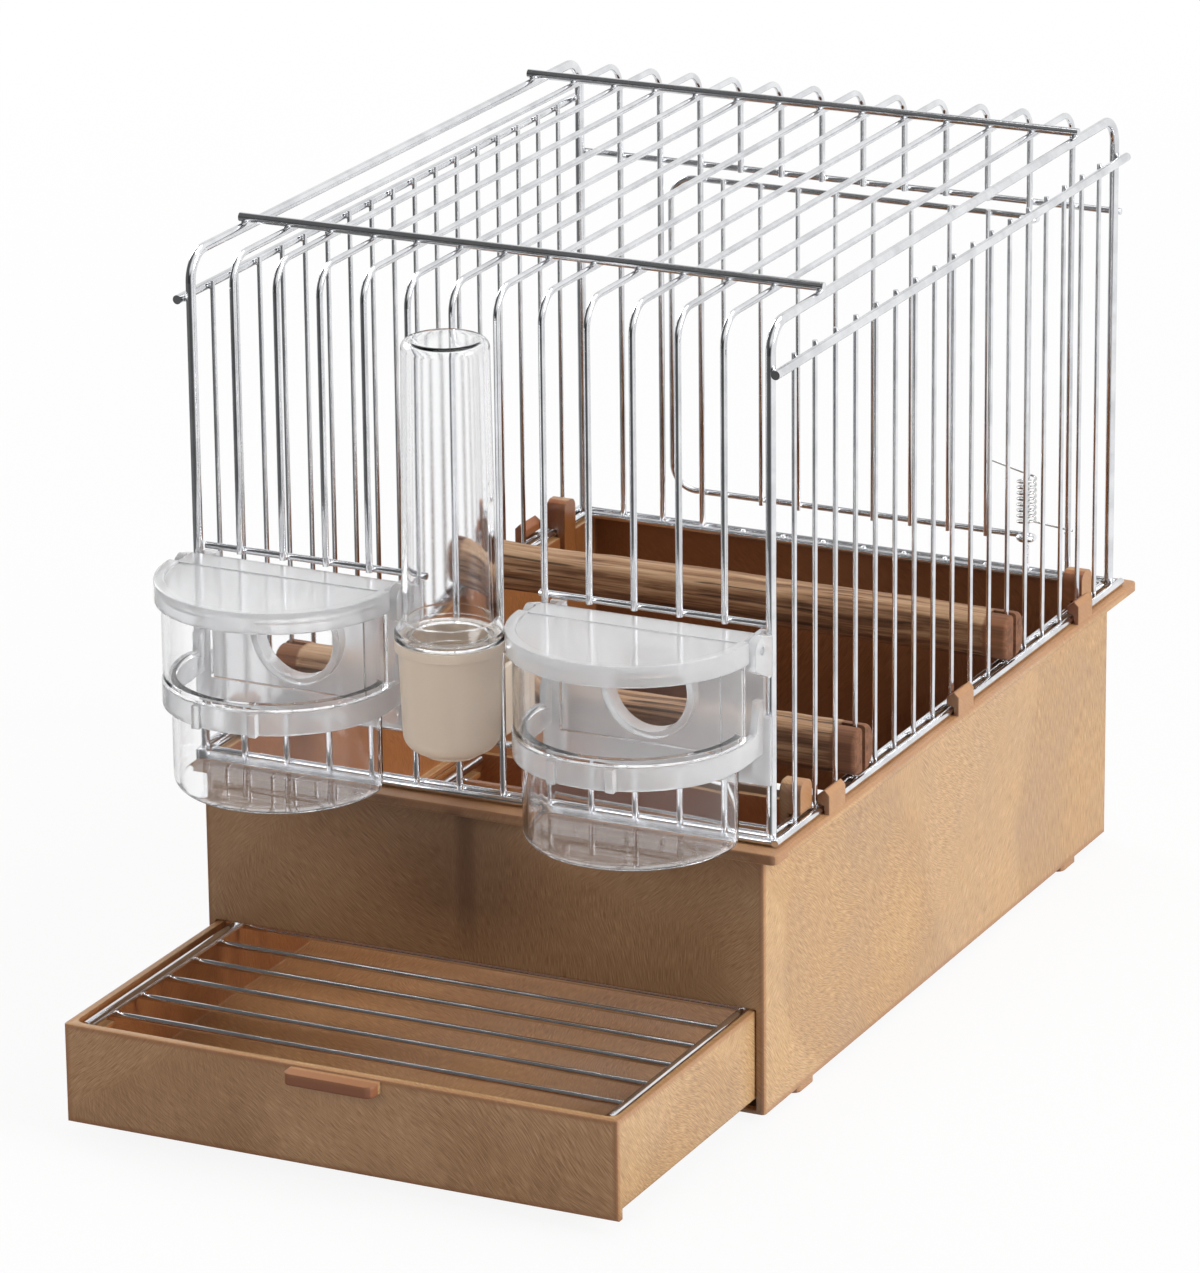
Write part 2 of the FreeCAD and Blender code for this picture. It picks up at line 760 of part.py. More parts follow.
    # Feet
    foot_x = base_half - dim.foot_inset
    feet = Drawing(body, "feet", "XY_Plane")
    for x in (-foot_x, foot_x):
        for y in (-dim.foot_distance / 2, dim.foot_distance / 2):
            feet.rounded(
                x - dim.foot_width / 2, x + dim.foot_width / 2,
                y - dim.foot_length / 2, y + dim.foot_length / 2, dim.foot_round,
            )
    pad(body, feet, dim.foot_height)
    return placed(body, "base")


make_base()

# Drawer, drawn shut and then placed as far out as it stands
tray_half = inside_half - dim.drawer_gap
tray_back = inside_end - dim.drawer_gap - dim.drawer_tail
tray_inside = tray_half - dim.drawer_wall
tray_front = dim.drawer_front - base_end
tray_end = tray_back - dim.drawer_wall
ledge_top = drawer_top - dim.ledge_drop


def make_drawer():
    body = new_body("drawer_tray")
    box = Drawing(body, "tray", "XY_Plane", drawer_low)
    box.rectangle(-tray_half, tray_half, -base_end, tray_back)
    pad(body, box, dim.drawer_height)
    front = Drawing(body, "tray_front", "XY_Plane", front_low)
    front.rectangle(-tray_half, tray_half, -base_end, tray_front)
    pad(body, front, dim.drawer_height + dim.front_drop)
    fillet(body, dim.front_round, lambda edge: abs(edge.BoundBox.YMax + base_end.number) < 1e-4)
    hollow = Drawing(body, "tray_hollow", "XY_Plane", drawer_top)
    hollow.rounded(-tray_inside, tray_inside, tray_front, tray_end, dim.drawer_corner)
    pocket(body, hollow, dim.drawer_height - dim.drawer_floor)

    # Short ledges under the ends of the grille
    ledges = Drawing(body, "ledges", "XY_Plane", ledge_top - dim.ledge_thick)
    in_wall = dim.drawer_wall / 2
    for low in (tray_front + dim.drawer_corner, tray_end - dim.drawer_corner - dim.ledge_length):
        high = low + dim.ledge_length
        ledges.rectangle(tray_inside - dim.ledge_width, tray_inside + in_wall, low, high)
        ledges.rectangle(-tray_inside - in_wall, dim.ledge_width - tray_inside, low, high)
    pad(body, ledges, dim.ledge_thick)

    # Finger grip
    grip = Drawing(body, "grip", "XY_Plane", drawer_top - dim.grip_drop - dim.grip_height)
    half, tip, bend = dim.grip_width / 2, -base_end - dim.grip_depth, dim.grip_round
    grip.loop(
        (half, -base_end + dim.drawer_front / 2),
        (-half, -base_end + dim.drawer_front / 2),
        (-half, tip + bend),
        (bend - half, tip, (bend - half, tip + bend), bend, 1),
        (half - bend, tip),
        (half, tip + bend, (half - bend, tip + bend), bend, 1),
    )
    pad(body, grip, dim.grip_height)
    return placed(body, "drawer_tray", y=-dim.drawer_out)


make_drawer()

rail_half = tray_inside - dim.grille_side_gap - dim.grille_rail_wire / 2
grille_z = ledge_top + dim.grille_wire / 2 + dim.weld_gap
rail_z = grille_z + dim.grille_wire / 2 + dim.grille_rail_wire / 2 + dim.weld_gap
rail_start = tray_front + dim.grille_end_gap
rail_length = tray_end - dim.grille_end_gap - rail_start
grille_rails = [
    rod(f"grille_rail_{side}", dim.grille_rail_wire, rail_length, "y", rail_half * sign, rail_start, rail_z)
    for side, sign in (("left", -1), ("right", 1))
]
bundle("grille_rails", grille_rails, y=-dim.drawer_out)
grille_run = tray_end - tray_front - dim.grille_first - dim.grille_last
grille_pitch = grille_run / (dim.grille_count - 1)
grille_wires = [
    along_x(
        f"grille_wire_{index + 1}", dim.grille_wire, rail_half + dim.grille_rail_wire / 2,
        tray_front + dim.grille_first + grille_pitch * index, grille_z,
    )
    for index in range(count(dim.grille_count))
]
bundle("grille_wires", grille_wires, y=-dim.drawer_out)

# Perches: round rods whose slotted ends straddle a side wire
perch_half = side_wire_x + dim.perch_prong
perch_z = bottom_rail_z + dim.bottom_wire / 2 + dim.perch_gap + dim.perch_width / 2


def make_perch(label, wire_number):
    body = new_body(label)
    round_rod = Drawing(body, f"{label}_round", "YZ_Plane").circle(ZERO, ZERO, dim.perch_width / 2)
    pad(body, round_rod, perch_half * 2, both_ways=True)
    fillet(body, dim.perch_round, lambda edge: abs(abs(edge.BoundBox.Center.x) - perch_half.number) < 1e-4)
    slots = Drawing(body, f"{label}_slots", "XY_Plane")
    slot_half = dim.side_wire / 2 + dim.perch_gap
    slots.mirrored_loop(
        (perch_half - dim.perch_slot_depth, -slot_half),
        (perch_half + dim.perch_prong, -slot_half),
        (perch_half + dim.perch_prong, slot_half),
        (perch_half - dim.perch_slot_depth, slot_half),
    )
    pocket(body, slots, dim.perch_width * 2, both_ways=True)
    return placed(body, label, y=side_wire_y(wire_number), z=perch_z)


make_perch("perch_front", dim.front_perch_number)
make_perch("perch_rear", dim.rear_perch_number)

# Feeders, drawn about their own middle; the bowl and the lid are half round in front and straight behind
feeder_x = half_row - dim.bar_pitch * (dim.feeder_bars - 1) / 2
opening_half = dim.bar_pitch * (dim.feeder_bars - 1) / 2
panel_half = opening_half - dim.panel_inset
panel_back = -hoop_face - dim.panel_gap
panel_face = panel_back - dim.panel_thick
hinge_y = panel_face - dim.hinge_reach
bowl_back = hinge_y - dim.lug_radius - dim.bowl_clear
bowl_y = bowl_back - dim.bowl_reach
belt_top = dim.belt_low + dim.belt_height
belt_inside = dim.bowl_radius - dim.bowl_step + dim.belt_gap
belt_outside = belt_inside + dim.belt_wall
panel_low = dim.lower_rail_height + dim.feeder_wire / 2 + dim.panel_rail_gap
panel_top = dim.feeder_rail_height - dim.feeder_wire / 2 - dim.panel_rail_gap
lid_under = dim.lid_top - dim.lid_thick
ear_inside = panel_half - dim.panel_inset - dim.ear_gap / 2
lug_outside = ear_inside - dim.ear_gap
sides = (("left", -1), ("right", 1))


def half_disc(drawing, radius, corner, wall=ZERO):
    """The bowl's outline drawn in by a wall: half round in front, straight sides, rounded back corners."""
    radius, corner, back = radius - wall, corner - wall, bowl_back - wall
    inset, side = radius - corner, back - corner
    return drawing.loop(
        (-inset, back),
        (-radius, side, (-inset, side), corner, 1),
        (-radius, bowl_y),
        (radius, bowl_y, (ZERO, bowl_y), radius, 1),
        (radius, side),
        (inset, back, (inset, side), corner, 1),
    )


def make_holder(label, sign):
    body = new_body(label)
    tab_half = opening_half + dim.tab_overlap
    panel_height = panel_top - panel_low
    low_tab = panel_low + panel_height * dim.lower_tab_share
    high_tab = panel_top - panel_height * dim.upper_tab_share
    panel = Drawing(body, f"{label}_panel", "XZ_Plane", -panel_back)
    panel.loop(
        (-tab_half, panel_low), (tab_half, panel_low), (tab_half, low_tab), (panel_half, low_tab),
        (panel_half, high_tab), (tab_half, high_tab), (tab_half, panel_top), (-tab_half, panel_top),
        (-tab_half, high_tab), (-panel_half, high_tab), (-panel_half, low_tab), (-tab_half, low_tab),
    )
    pad(body, panel, dim.panel_thick)
    collar = Drawing(body, f"{label}_collar", "XZ_Plane", -panel_face)
    collar.circle(ZERO, dim.hole_height, dim.hole_radius + dim.collar_wall)
    pad(body, collar, dim.collar_depth)

    # Belt that the bowl drops into, carried back to the panel
    root = panel_face + dim.panel_thick / 2
    belt = Drawing(body, f"{label}_belt", "XY_Plane", dim.belt_low)
    belt.loop(
        (belt_outside, root),
        (belt_inside, root),
        (belt_inside, bowl_y),
        (-belt_inside, bowl_y, (ZERO, bowl_y), belt_inside, -1),
        (-belt_inside, root),
        (-belt_outside, root),
        (-belt_outside, bowl_y),
        (belt_outside, bowl_y, (ZERO, bowl_y), belt_outside, 1),
    )
    pad(body, belt, dim.belt_height)
    ribs = Drawing(body, f"{label}_ribs", "XY_Plane", dim.belt_low)
    rib_front = bowl_y - belt_outside - dim.belt_rib
    rib_back = bowl_y - belt_inside - dim.belt_wall / 4
    ribs.mirrored_loop(
        (dim.belt_rib_distance / 2, rib_front),
        (dim.belt_rib_distance / 2 + dim.belt_rib_width, rib_front),
        (dim.belt_rib_distance / 2 + dim.belt_rib_width, rib_back),
        (dim.belt_rib_distance / 2, rib_back),
    )
    pad(body, ribs, dim.belt_height)

    # Gussets between the ends of the belt and the panel
    gusset = Drawing(body, f"{label}_gusset", "YZ_Plane", belt_inside)
    gusset_top = belt_top + dim.gusset_height
    gusset.loop(
        (root, dim.belt_low),
        (root, gusset_top),
        (panel_face - dim.gusset_depth / 2, gusset_top),
        (panel_face - dim.gusset_depth, belt_top),
        (panel_face - dim.gusset_depth, dim.belt_low),
    )
    right_gusset = pad(body, gusset, dim.belt_wall)
    mirrored(body, [right_gusset])

    # Round ears that carry the lid's pins
    ear_low = high_tab
    ear = Drawing(body, f"{label}_ear", "YZ_Plane", ear_inside)
    ear_front = hinge_y - dim.ear_radius
    ear_top = dim.hinge_height + dim.ear_radius
    ear.loop(
        (panel_back, ear_low),
        (panel_back, panel_top),
        (hinge_y, ear_top),
        (ear_front, dim.hinge_height, (hinge_y, dim.hinge_height), dim.ear_radius, 1),
        (ear_front, ear_low + dim.ear_radius),
        (panel_face, ear_low),
    )
    right_ear = pad(body, ear, dim.ear_wall)
    mirrored(body, [right_ear])

    # Hooks that reach through the opening and behind the bars at its sides
    hook_in = opening_half - dim.corner_wire / 2 - dim.clip_gap - dim.hook_thick * 2
    hook_out = hook_in + dim.hook_thick + dim.hook_lip
    hook_near = dim.hook_gap - corner_inner
    hook_far = hook_near + dim.hook_thick
    hook_rows = (
        (panel_low + dim.panel_rail_gap, low_tab - panel_low),
        (high_tab, panel_top - high_tab),
    )
    for low, height in hook_rows:
        hooks = Drawing(body, f"{label}_hooks", "XY_Plane", low)
        hooks.mirrored_loop(
            (hook_in, panel_face + dim.panel_thick / 2),
            (hook_in + dim.hook_thick, panel_face + dim.panel_thick / 2),
            (hook_in + dim.hook_thick, hook_near),
            (hook_out, hook_near),
            (hook_out, hook_far),
            (hook_in, hook_far),
        )
        pad(body, hooks, height - dim.panel_rail_gap)

    hole = Drawing(body, f"{label}_hole", "XZ_Plane", -panel_face + dim.collar_depth * 2)
    hole.circle(ZERO, dim.hole_height, dim.hole_radius)
    pocket(body, hole, dim.panel_thick + dim.collar_depth * 3)
    pin_holes = Drawing(body, f"{label}_pin_holes", "YZ_Plane")
    pin_holes.circle(hinge_y, dim.hinge_height, dim.pin_radius + dim.pin_gap)
    pocket(body, pin_holes, (ear_inside + dim.ear_wall) * 3, both_ways=True)
    return placed(body, label, x=feeder_x * sign)


def make_bowl(label, sign):
    body = new_body(label)
    low_radius = dim.bowl_radius - dim.bowl_step
    step = belt_top + dim.belt_gap
    wall, corner = dim.bowl_wall, dim.bowl_corner
    lower = Drawing(body, f"{label}_lower", "XY_Plane", dim.bowl_bottom)
    half_disc(lower, low_radius, corner)
    pad(body, lower, step - dim.bowl_bottom)
    upper = Drawing(body, f"{label}_upper", "XY_Plane", step)
    half_disc(upper, dim.bowl_radius, corner)
    pad(body, upper, dim.bowl_top - step)
    fillet(body, dim.bowl_round, lambda edge: level(edge, dim.bowl_bottom))
    upper_hollow = Drawing(body, f"{label}_upper_hollow", "XY_Plane", dim.bowl_top)
    half_disc(upper_hollow, dim.bowl_radius, corner, wall)
    pocket(body, upper_hollow, dim.bowl_top - step - wall)
    lower_hollow = Drawing(body, f"{label}_lower_hollow", "XY_Plane", dim.bowl_top)
    half_disc(lower_hollow, low_radius, corner, wall)
    pocket(body, lower_hollow, dim.bowl_top - dim.bowl_bottom - wall)

    # The back is cut down so that a bird reaches in through the holder's hole
    notch = Drawing(body, f"{label}_notch", "XZ_Plane", -bowl_back + wall * 2)
    notch.rectangle(-dim.bowl_notch, dim.bowl_notch, dim.bowl_sill, dim.bowl_top + wall)
    pocket(body, notch, wall * 3)
    return placed(body, label, x=feeder_x * sign)


def make_lid(label, sign):
    body = new_body(label)
    radius, inside = dim.lid_radius, dim.lid_radius - dim.skirt_wall
    rim_inside = radius - dim.rim_width
    back = hinge_y + dim.lid_back
    plate = Drawing(body, f"{label}_plate", "XY_Plane", lid_under)
    plate.loop(
        (-lug_outside, back),
        (-lug_outside, bowl_y),
        (-radius, bowl_y),
        (radius, bowl_y, (ZERO, bowl_y), radius, 1),
        (lug_outside, bowl_y),
        (lug_outside, back),
    )
    pad(body, plate, dim.lid_thick)

    def half_ring(name, height, outer, inner):
        ring = Drawing(body, name, "XY_Plane", height)
        return ring.loop(
            (-outer, bowl_y),
            (outer, bowl_y, (ZERO, bowl_y), outer, 1),
            (inner, bowl_y),
            (-inner, bowl_y, (ZERO, bowl_y), inner, -1),
        )

    skirt_low = dim.lid_top - dim.skirt_depth
    pad(body, half_ring(f"{label}_skirt", skirt_low, radius, inside), dim.skirt_depth - dim.lid_thick / 2)
    pad(body, half_ring(f"{label}_rim", lid_under, radius, rim_inside), dim.lid_thick + dim.rim_rise)
    fillet(body, dim.rim_round, lambda edge: level(edge, dim.lid_top + dim.rim_rise))

    # The half round within the rim is sunk, which leaves a fold line in front of the hinge strip
    sunk = Drawing(body, f"{label}_sunk", "XY_Plane", dim.lid_top)
    sunk.loop((-rim_inside, bowl_y), (rim_inside, bowl_y, (ZERO, bowl_y), rim_inside, 1))
    pocket(body, sunk, dim.lid_recess)

    # Lugs under the ends of the hinge strip, each with a pin that turns in the holder's ear
    lug = Drawing(body, f"{label}_lug", "YZ_Plane", lug_outside - dim.lug_width)
    lug_top = lid_under + dim.lid_thick / 2
    lug.loop(
        (hinge_y - dim.lug_radius, lug_top),
        (hinge_y - dim.lug_radius, dim.hinge_height),
        (hinge_y, dim.hinge_height - dim.lug_radius, (hinge_y, dim.hinge_height), dim.lug_radius, 1),
        (back, dim.hinge_height - dim.lug_radius),
        (back, lug_top),
    )
    lugs = pad(body, lug, dim.lug_width)
    pin = Drawing(body, f"{label}_pin", "YZ_Plane", lug_outside - dim.lug_width / 2)
    pin.circle(hinge_y, dim.hinge_height, dim.pin_radius)
    pins = pad(body, pin, dim.lug_width / 2 + dim.ear_gap + dim.pin_length)
    mirrored(body, [lugs, pins])
    return placed(body, label, x=feeder_x * sign)


for side, sign in sides:
    make_holder(f"feeder_holder_{side}", sign)
    make_bowl(f"feeder_bowl_{side}", sign)
    make_lid(f"feeder_lid_{side}", sign)

# Drinker, drawn about its own upright axis
drinker_y = -hoop_face - dim.drinker_gap - dim.drinker_rim


def make_drinker_cup():
    body = new_body("drinker_cup")
    foot_top = dim.drinker_low + dim.drinker_foot_step
    wall_low = foot_top + dim.drinker_bend
    low_radius = dim.drinker_foot + dim.drinker_bend
    band_low = dim.drinker_top - dim.drinker_band
    outside = Drawing(body, "cup_outside", "XZ_Plane")
    outside.loop(
        (ZERO, dim.drinker_low),
        (dim.drinker_foot - dim.drinker_foot_step / 2, dim.drinker_low),
        (dim.drinker_foot, foot_top),
        (low_radius, wall_low, (dim.drinker_foot, wall_low), dim.drinker_bend, 1),
        (dim.drinker_waist, band_low),
        (dim.drinker_rim, band_low),
        (dim.drinker_rim, dim.drinker_top),
        (ZERO, dim.drinker_top),
    )
    turned(body, outside)
    trough_low = dim.lower_rail_height + dim.feeder_wire / 2 + dim.trough_seat
    trough_end = dim.trough_reach - cage_end - drinker_y
    half, wall = dim.trough_half, dim.trough_wall
    trough = Drawing(body, "trough", "XY_Plane", trough_low)
    trough.loop(
        (-half, ZERO),
        (half, ZERO),
        (half, trough_end - half),
        (-half, trough_end - half, (ZERO, trough_end - half), half, 1),
    )
    pad(body, trough, dim.trough_height)
    hollow = Drawing(body, "cup_hollow", "XZ_Plane")
    floor = foot_top + dim.drinker_wall
    bend = dim.drinker_bend - dim.drinker_wall
    hollow.loop(
        (ZERO, floor),
        (dim.drinker_foot, floor),
        (dim.drinker_foot + bend, floor + bend, (dim.drinker_foot, floor + bend), bend, 1),
        (dim.drinker_waist - dim.drinker_wall, dim.drinker_top + dim.drinker_wall),
        (ZERO, dim.drinker_top + dim.drinker_wall),
    )
    turned(body, hollow, "Groove")
    channel = Drawing(body, "channel", "XY_Plane", trough_low + dim.trough_height)
    inner = half - wall
    channel.loop(
        (-inner, dim.drinker_foot),
        (inner, dim.drinker_foot),
        (inner, trough_end - half),
        (-inner, trough_end - half, (ZERO, trough_end - half), inner, 1),
    )
    pocket(body, channel, dim.trough_height - wall)
    return placed(body, "drinker_cup", y=drinker_y)


def make_drinker_tube():
    body = new_body("drinker_tube")
    seat = dim.drinker_top + dim.tube_gap
    collar_top = seat + dim.tube_collar
    neck = collar_top + dim.tube_shoulder
    wall, bend = dim.tube_wall, dim.tube_round
    bend_low = dim.tube_top - bend
    mouth_low = seat - dim.tube_mouth
    mouth = dim.drinker_foot + dim.drinker_bend - dim.drinker_wall - dim.tube_gap
    shape = Drawing(body, "tube_wall", "XZ_Plane")
    shape.loop(
        (mouth - wall, mouth_low),
        (mouth, mouth_low),
        (mouth, seat),
        (dim.drinker_rim, seat),
        (dim.drinker_rim, collar_top),
        (dim.tube_low_radius, neck),
        (dim.tube_top_radius, bend_low),
        (dim.tube_top_radius - bend, dim.tube_top, (dim.tube_top_radius - bend, bend_low), bend, 1),
        (ZERO, dim.tube_top),
        (ZERO, dim.tube_top - wall),
        (dim.tube_top_radius - bend, dim.tube_top - wall),
        (dim.tube_top_radius - wall, bend_low, (dim.tube_top_radius - bend, bend_low), bend - wall, -1),
        (dim.tube_low_radius - wall, neck),
        (dim.drinker_rim - wall, collar_top),
        (dim.drinker_rim - wall, seat + dim.tube_floor),
        (mouth - wall, seat + dim.tube_floor),
    )
    turned(body, shape)
    return placed(body, "drinker_tube", y=drinker_y)


make_drinker_cup()
make_drinker_tube()

# Back door: one bent wire whose ends close into eyes around a hoop, with upright bars
hinge_x = bar_x(dim.door_hinge_hoop)
door_axis_y = hoop_face - dim.hoop_wire / 2
eye_radius = dim.hoop_wire / 2 + dim.door_eye_gap + dim.door_wire / 2
door_y = door_axis_y + eye_radius


def swept(path, start, heading, radius):
    """One wire of round section along a path of lines and arcs."""
    section = Part.Wire(Part.makeCircle(radius, start, heading))
    tube = Part.BRepOffsetAPI.MakePipeShell(path)
    tube.add(section)
    tube.build()
    tube.makeSolid()
    return tube.shape()


def check_volume(label, shape, path, radius):
    """A sound sweep fills its section times its length."""
    expected = math.pi * radius**2 * path.Length
    print(f"{label}: length {path.Length:.1f} mm, volume {shape.Volume:.2f} of {expected:.2f} mm3")
    if abs(shape.Volume - expected) > 0.01 * expected:
        raise RuntimeError(f"{label} is not swept whole")


def turn_arc(centre, radius, first, second):
    """Quarter turn about a centre from one unit direction to another."""
    middle = (first + second).normalize()
    return Part.Arc(centre + first * radius, centre + middle * radius, centre + second * radius).toShape()


def line(start, finish):
    return Part.LineSegment(start, finish).toShape()


def make_door_frame():
    right, back, up = Vector(1, 0, 0), Vector(0, 1, 0), Vector(0, 0, 1)
    ring, bend = eye_radius.number, dim.door_bend.number
    x, y = hinge_x.number, door_axis_y.number
    left = x - dim.door_width.number
    low, high = dim.door_low.number, dim.door_top.number
    wire_y = y + ring
    edges = []
    eye = Vector(x, y, high)
    for first, second in ((-right, -back), (-back, right), (right, back)):
        edges.append(turn_arc(eye, ring, first, second))
    edges.append(line(Vector(x, wire_y, high), Vector(left + bend, wire_y, high)))
    edges.append(turn_arc(Vector(left + bend, wire_y, high - bend), bend, up, -right))
    edges.append(line(Vector(left, wire_y, high - bend), Vector(left, wire_y, low + bend)))
    edges.append(turn_arc(Vector(left + bend, wire_y, low + bend), bend, -right, -up))
    edges.append(line(Vector(left + bend, wire_y, low), Vector(x, wire_y, low)))
    eye = Vector(x, y, low)
    for first, second in ((back, right), (right, -back), (-back, -right)):
        edges.append(turn_arc(eye, ring, first, second))
    path = Part.Wire(edges)
    radius = dim.door_wire.number / 2
    frame = doc.addObject("Part::Feature", "door_frame")
    frame.Shape = swept(path, Vector(x - ring, y, high), -back, radius)
    check_volume("door_frame", frame.Shape, path, radius)
    return placed(frame, "door_frame")


def biarc(start, start_heading, finish, finish_heading):
    """Two arcs that meet smoothly and keep the headings at both ends."""
    chord = finish - start
    both = start_heading + finish_heading
    turn = 1 - start_heading.dot(finish_heading)
    along = chord.dot(both)
    reach = (math.sqrt(along**2 + 2 * turn * chord.dot(chord)) - along) / (2 * turn)
    joint = (start + finish) * 0.5 + (start_heading - finish_heading) * (reach / 2)
    return [tangent_arc(start, start_heading, joint), tangent_arc(finish, -finish_heading, joint, True)]


def tangent_arc(start, heading, finish, backwards=False):
    """Arc from start along a heading to finish, or the same arc run the other way."""
    chord = finish - start
    side = chord - heading * chord.dot(heading)
    centre = start + side * (chord.dot(chord) / (2 * side.dot(side)))
    radius = (start - centre).Length
    middle = centre + ((start + finish) * 0.5 - centre).normalize() * radius
    ends = (finish, middle, start) if backwards else (start, middle, finish)
    return Part.Arc(*ends).toShape()


def make_door_spring():
    """Torsion spring about the hinge hoop, one arm on the next hoop and one on the first door bar."""
    axis = Vector(hinge_x.number, door_axis_y.number, 0)
    coil, pitch = dim.spring_radius.number, dim.spring_pitch.number
    turns, low = count(dim.spring_turns), dim.spring_low.number
    bend, hook = dim.spring_bend.number, dim.spring_hook.number
    radius = dim.spring_wire.number / 2
    rise = pitch / (2 * math.pi * coil)

    def at(turn):
        angle = HALF_PI + 2 * math.pi * turn
        place = axis + Vector(coil * math.cos(angle), coil * math.sin(angle), low + pitch * turn)
        heading = Vector(-math.sin(angle), math.cos(angle), rise).normalize()
        return place, heading

    turn_stops = [at(quarter / 4) for quarter in range(4 * turns + 1)]
    coil_edges = []
    for (start, heading), (finish, next_heading) in zip(turn_stops, turn_stops[1:]):
        coil_edges += biarc(start, heading, finish, next_heading)
    first, heading = turn_stops[0]
    last = turn_stops[-1][0]
    clear = radius + dim.door_eye_gap.number
    arm_in = dim.bar_pitch.number + dim.hoop_wire.number / 2 + clear
    arm_out = dim.bar_pitch.number + dim.side_wire.number / 2 + clear
    inward = Vector(0, -1, 0)
    arm_start = first - heading * ((arm_in - bend) / heading.x * -1)
    low_corner = arm_start - heading * bend + inward * bend
    arm_end = last + heading * ((arm_out - bend) / -heading.x)
    high_corner = arm_end + heading * bend + inward * bend
    edges = [line(low_corner + inward * hook, low_corner)]
    edges.append(turn_arc(arm_start + inward * bend, bend, -heading, -inward))
    edges.append(line(arm_start, first))
    edges += coil_edges
    edges.append(line(last, arm_end))
    edges.append(turn_arc(arm_end + inward * bend, bend, -inward, heading))
    edges.append(line(high_corner, high_corner + inward * hook))
    path = Part.Wire(edges)
    spring = doc.addObject("Part::Feature", "door_spring")
    spring.Shape = swept(path, low_corner + inward * hook, -inward, radius)
    check_volume("door_spring", spring.Shape, path, radius)
    print_least_gap("door_spring", path, dim.spring_wire.number, pitch * 2)
    return placed(spring, "door_spring")


def print_least_gap(label, path, wire, apart):
    """Least gap between stretches of one wire that lie further apart than a given run."""
    spacing = wire / 2
    points = [p for edge in path.OrderedEdges for p in edge.discretize(Distance=spacing)]
    skip = int(math.ceil(apart / spacing))
    least = min(
        (a - b).Length for i, a in enumerate(points) for b in points[i + skip:]
    )
    print(f"{label}: least gap to itself {least - wire:.2f} mm")


make_door_frame()
door_bar_y = door_y - dim.door_wire / 2 - dim.side_wire / 2 - dim.weld_gap
bar_low = dim.door_low - dim.door_wire / 2 - dim.weld_tip
bar_high = dim.door_top + dim.door_wire / 2 + dim.weld_tip
door_bars = [
    rod(
        f"door_bar_{index + 1}", dim.side_wire, bar_high - bar_low, "z",
        hinge_x - dim.bar_pitch - dim.door_bar_pitch * index, door_bar_y, bar_low,
    )
    for index in range(count(dim.door_bar_count))
]
bundle("door_bars", door_bars)
make_door_spring()

doc.recompute()
for thing in doc.Objects:
    if "Invalid" in thing.State or "Error" in thing.State:
        raise RuntimeError(f"{thing.Label} did not rebuild: {thing.State}")
for piece in pieces:
    if piece.Shape.isNull() or not piece.Shape.isValid():
        raise RuntimeError(f"{piece.Label} is not a sound solid")

os.makedirs("parts", exist_ok=True)
for piece in pieces:
    piece.Shape.exportStep(f"parts/{piece.Label}.step")
print(f"{len(pieces)} pieces written")
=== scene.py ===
# %% [markdown]
# A songbird display cage, dressed step by step.
#
# The frame that we load holds every solid of the cage: the bent wires, the moulded base, the
# drawer, the feeders, the drinker and the back door. Our work is to light it, to give each
# material its real surface, and to model the few pieces whose charm lies in being irregular.

import math

import bmesh
import bpy
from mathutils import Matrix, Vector


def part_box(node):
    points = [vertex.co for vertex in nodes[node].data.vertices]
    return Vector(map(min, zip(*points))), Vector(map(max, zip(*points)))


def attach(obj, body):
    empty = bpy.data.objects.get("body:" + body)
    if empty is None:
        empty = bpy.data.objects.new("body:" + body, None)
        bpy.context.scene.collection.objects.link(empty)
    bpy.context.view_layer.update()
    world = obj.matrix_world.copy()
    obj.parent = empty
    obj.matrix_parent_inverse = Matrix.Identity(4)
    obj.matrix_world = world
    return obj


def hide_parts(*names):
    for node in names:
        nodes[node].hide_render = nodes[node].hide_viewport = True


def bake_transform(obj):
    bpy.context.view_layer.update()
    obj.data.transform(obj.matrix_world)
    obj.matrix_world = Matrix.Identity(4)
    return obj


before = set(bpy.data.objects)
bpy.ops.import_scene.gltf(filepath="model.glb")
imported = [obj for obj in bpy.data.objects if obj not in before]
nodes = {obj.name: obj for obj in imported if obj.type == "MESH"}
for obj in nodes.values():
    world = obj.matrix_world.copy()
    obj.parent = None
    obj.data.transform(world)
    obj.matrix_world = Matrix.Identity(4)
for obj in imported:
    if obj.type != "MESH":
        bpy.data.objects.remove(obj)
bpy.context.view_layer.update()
bpy.ops.object.select_all(action="DESELECT")

# %% [markdown]
# The camera comes first, because every later choice is judged through it. A product photograph
# like this one is taken from far away with a long lens, so that upright edges stay nearly
# parallel. A wide lens close up would give the same framing but would splay the wires.

# %% Camera
IMAGE_WIDTH = 1200
FOCAL_PIXELS = 6952.3
SENSOR = 36.0
CAMERA_PLACE = (0.825049, -1.686008, 0.734665)
CAMERA_TURN = (1.246445, 0.010085, 0.452752)
FARTHEST = 50

bpy.ops.object.camera_add(location=CAMERA_PLACE, rotation=CAMERA_TURN)
camera = bpy.context.object
camera.name = "camera"
camera.data.sensor_fit = "HORIZONTAL"
camera.data.sensor_width = SENSOR
camera.data.lens = FOCAL_PIXELS / IMAGE_WIDTH * SENSOR
camera.data.clip_end = FARTHEST
bpy.context.scene.camera = camera
print(f"lens {camera.data.lens:.1f} mm")

# %% [markdown]
# Materials are node graphs, and typing every node by hand hides the idea. A few small helpers keep
# the graphs readable. One starts a finish from the Principled shader, one adds a node and wires
# whatever sockets it is given, and one feeds the shader. A plain number goes straight onto the
# socket. The rest stand for the nodes that come up most: sums, vectors, ranges, mixes and noise.

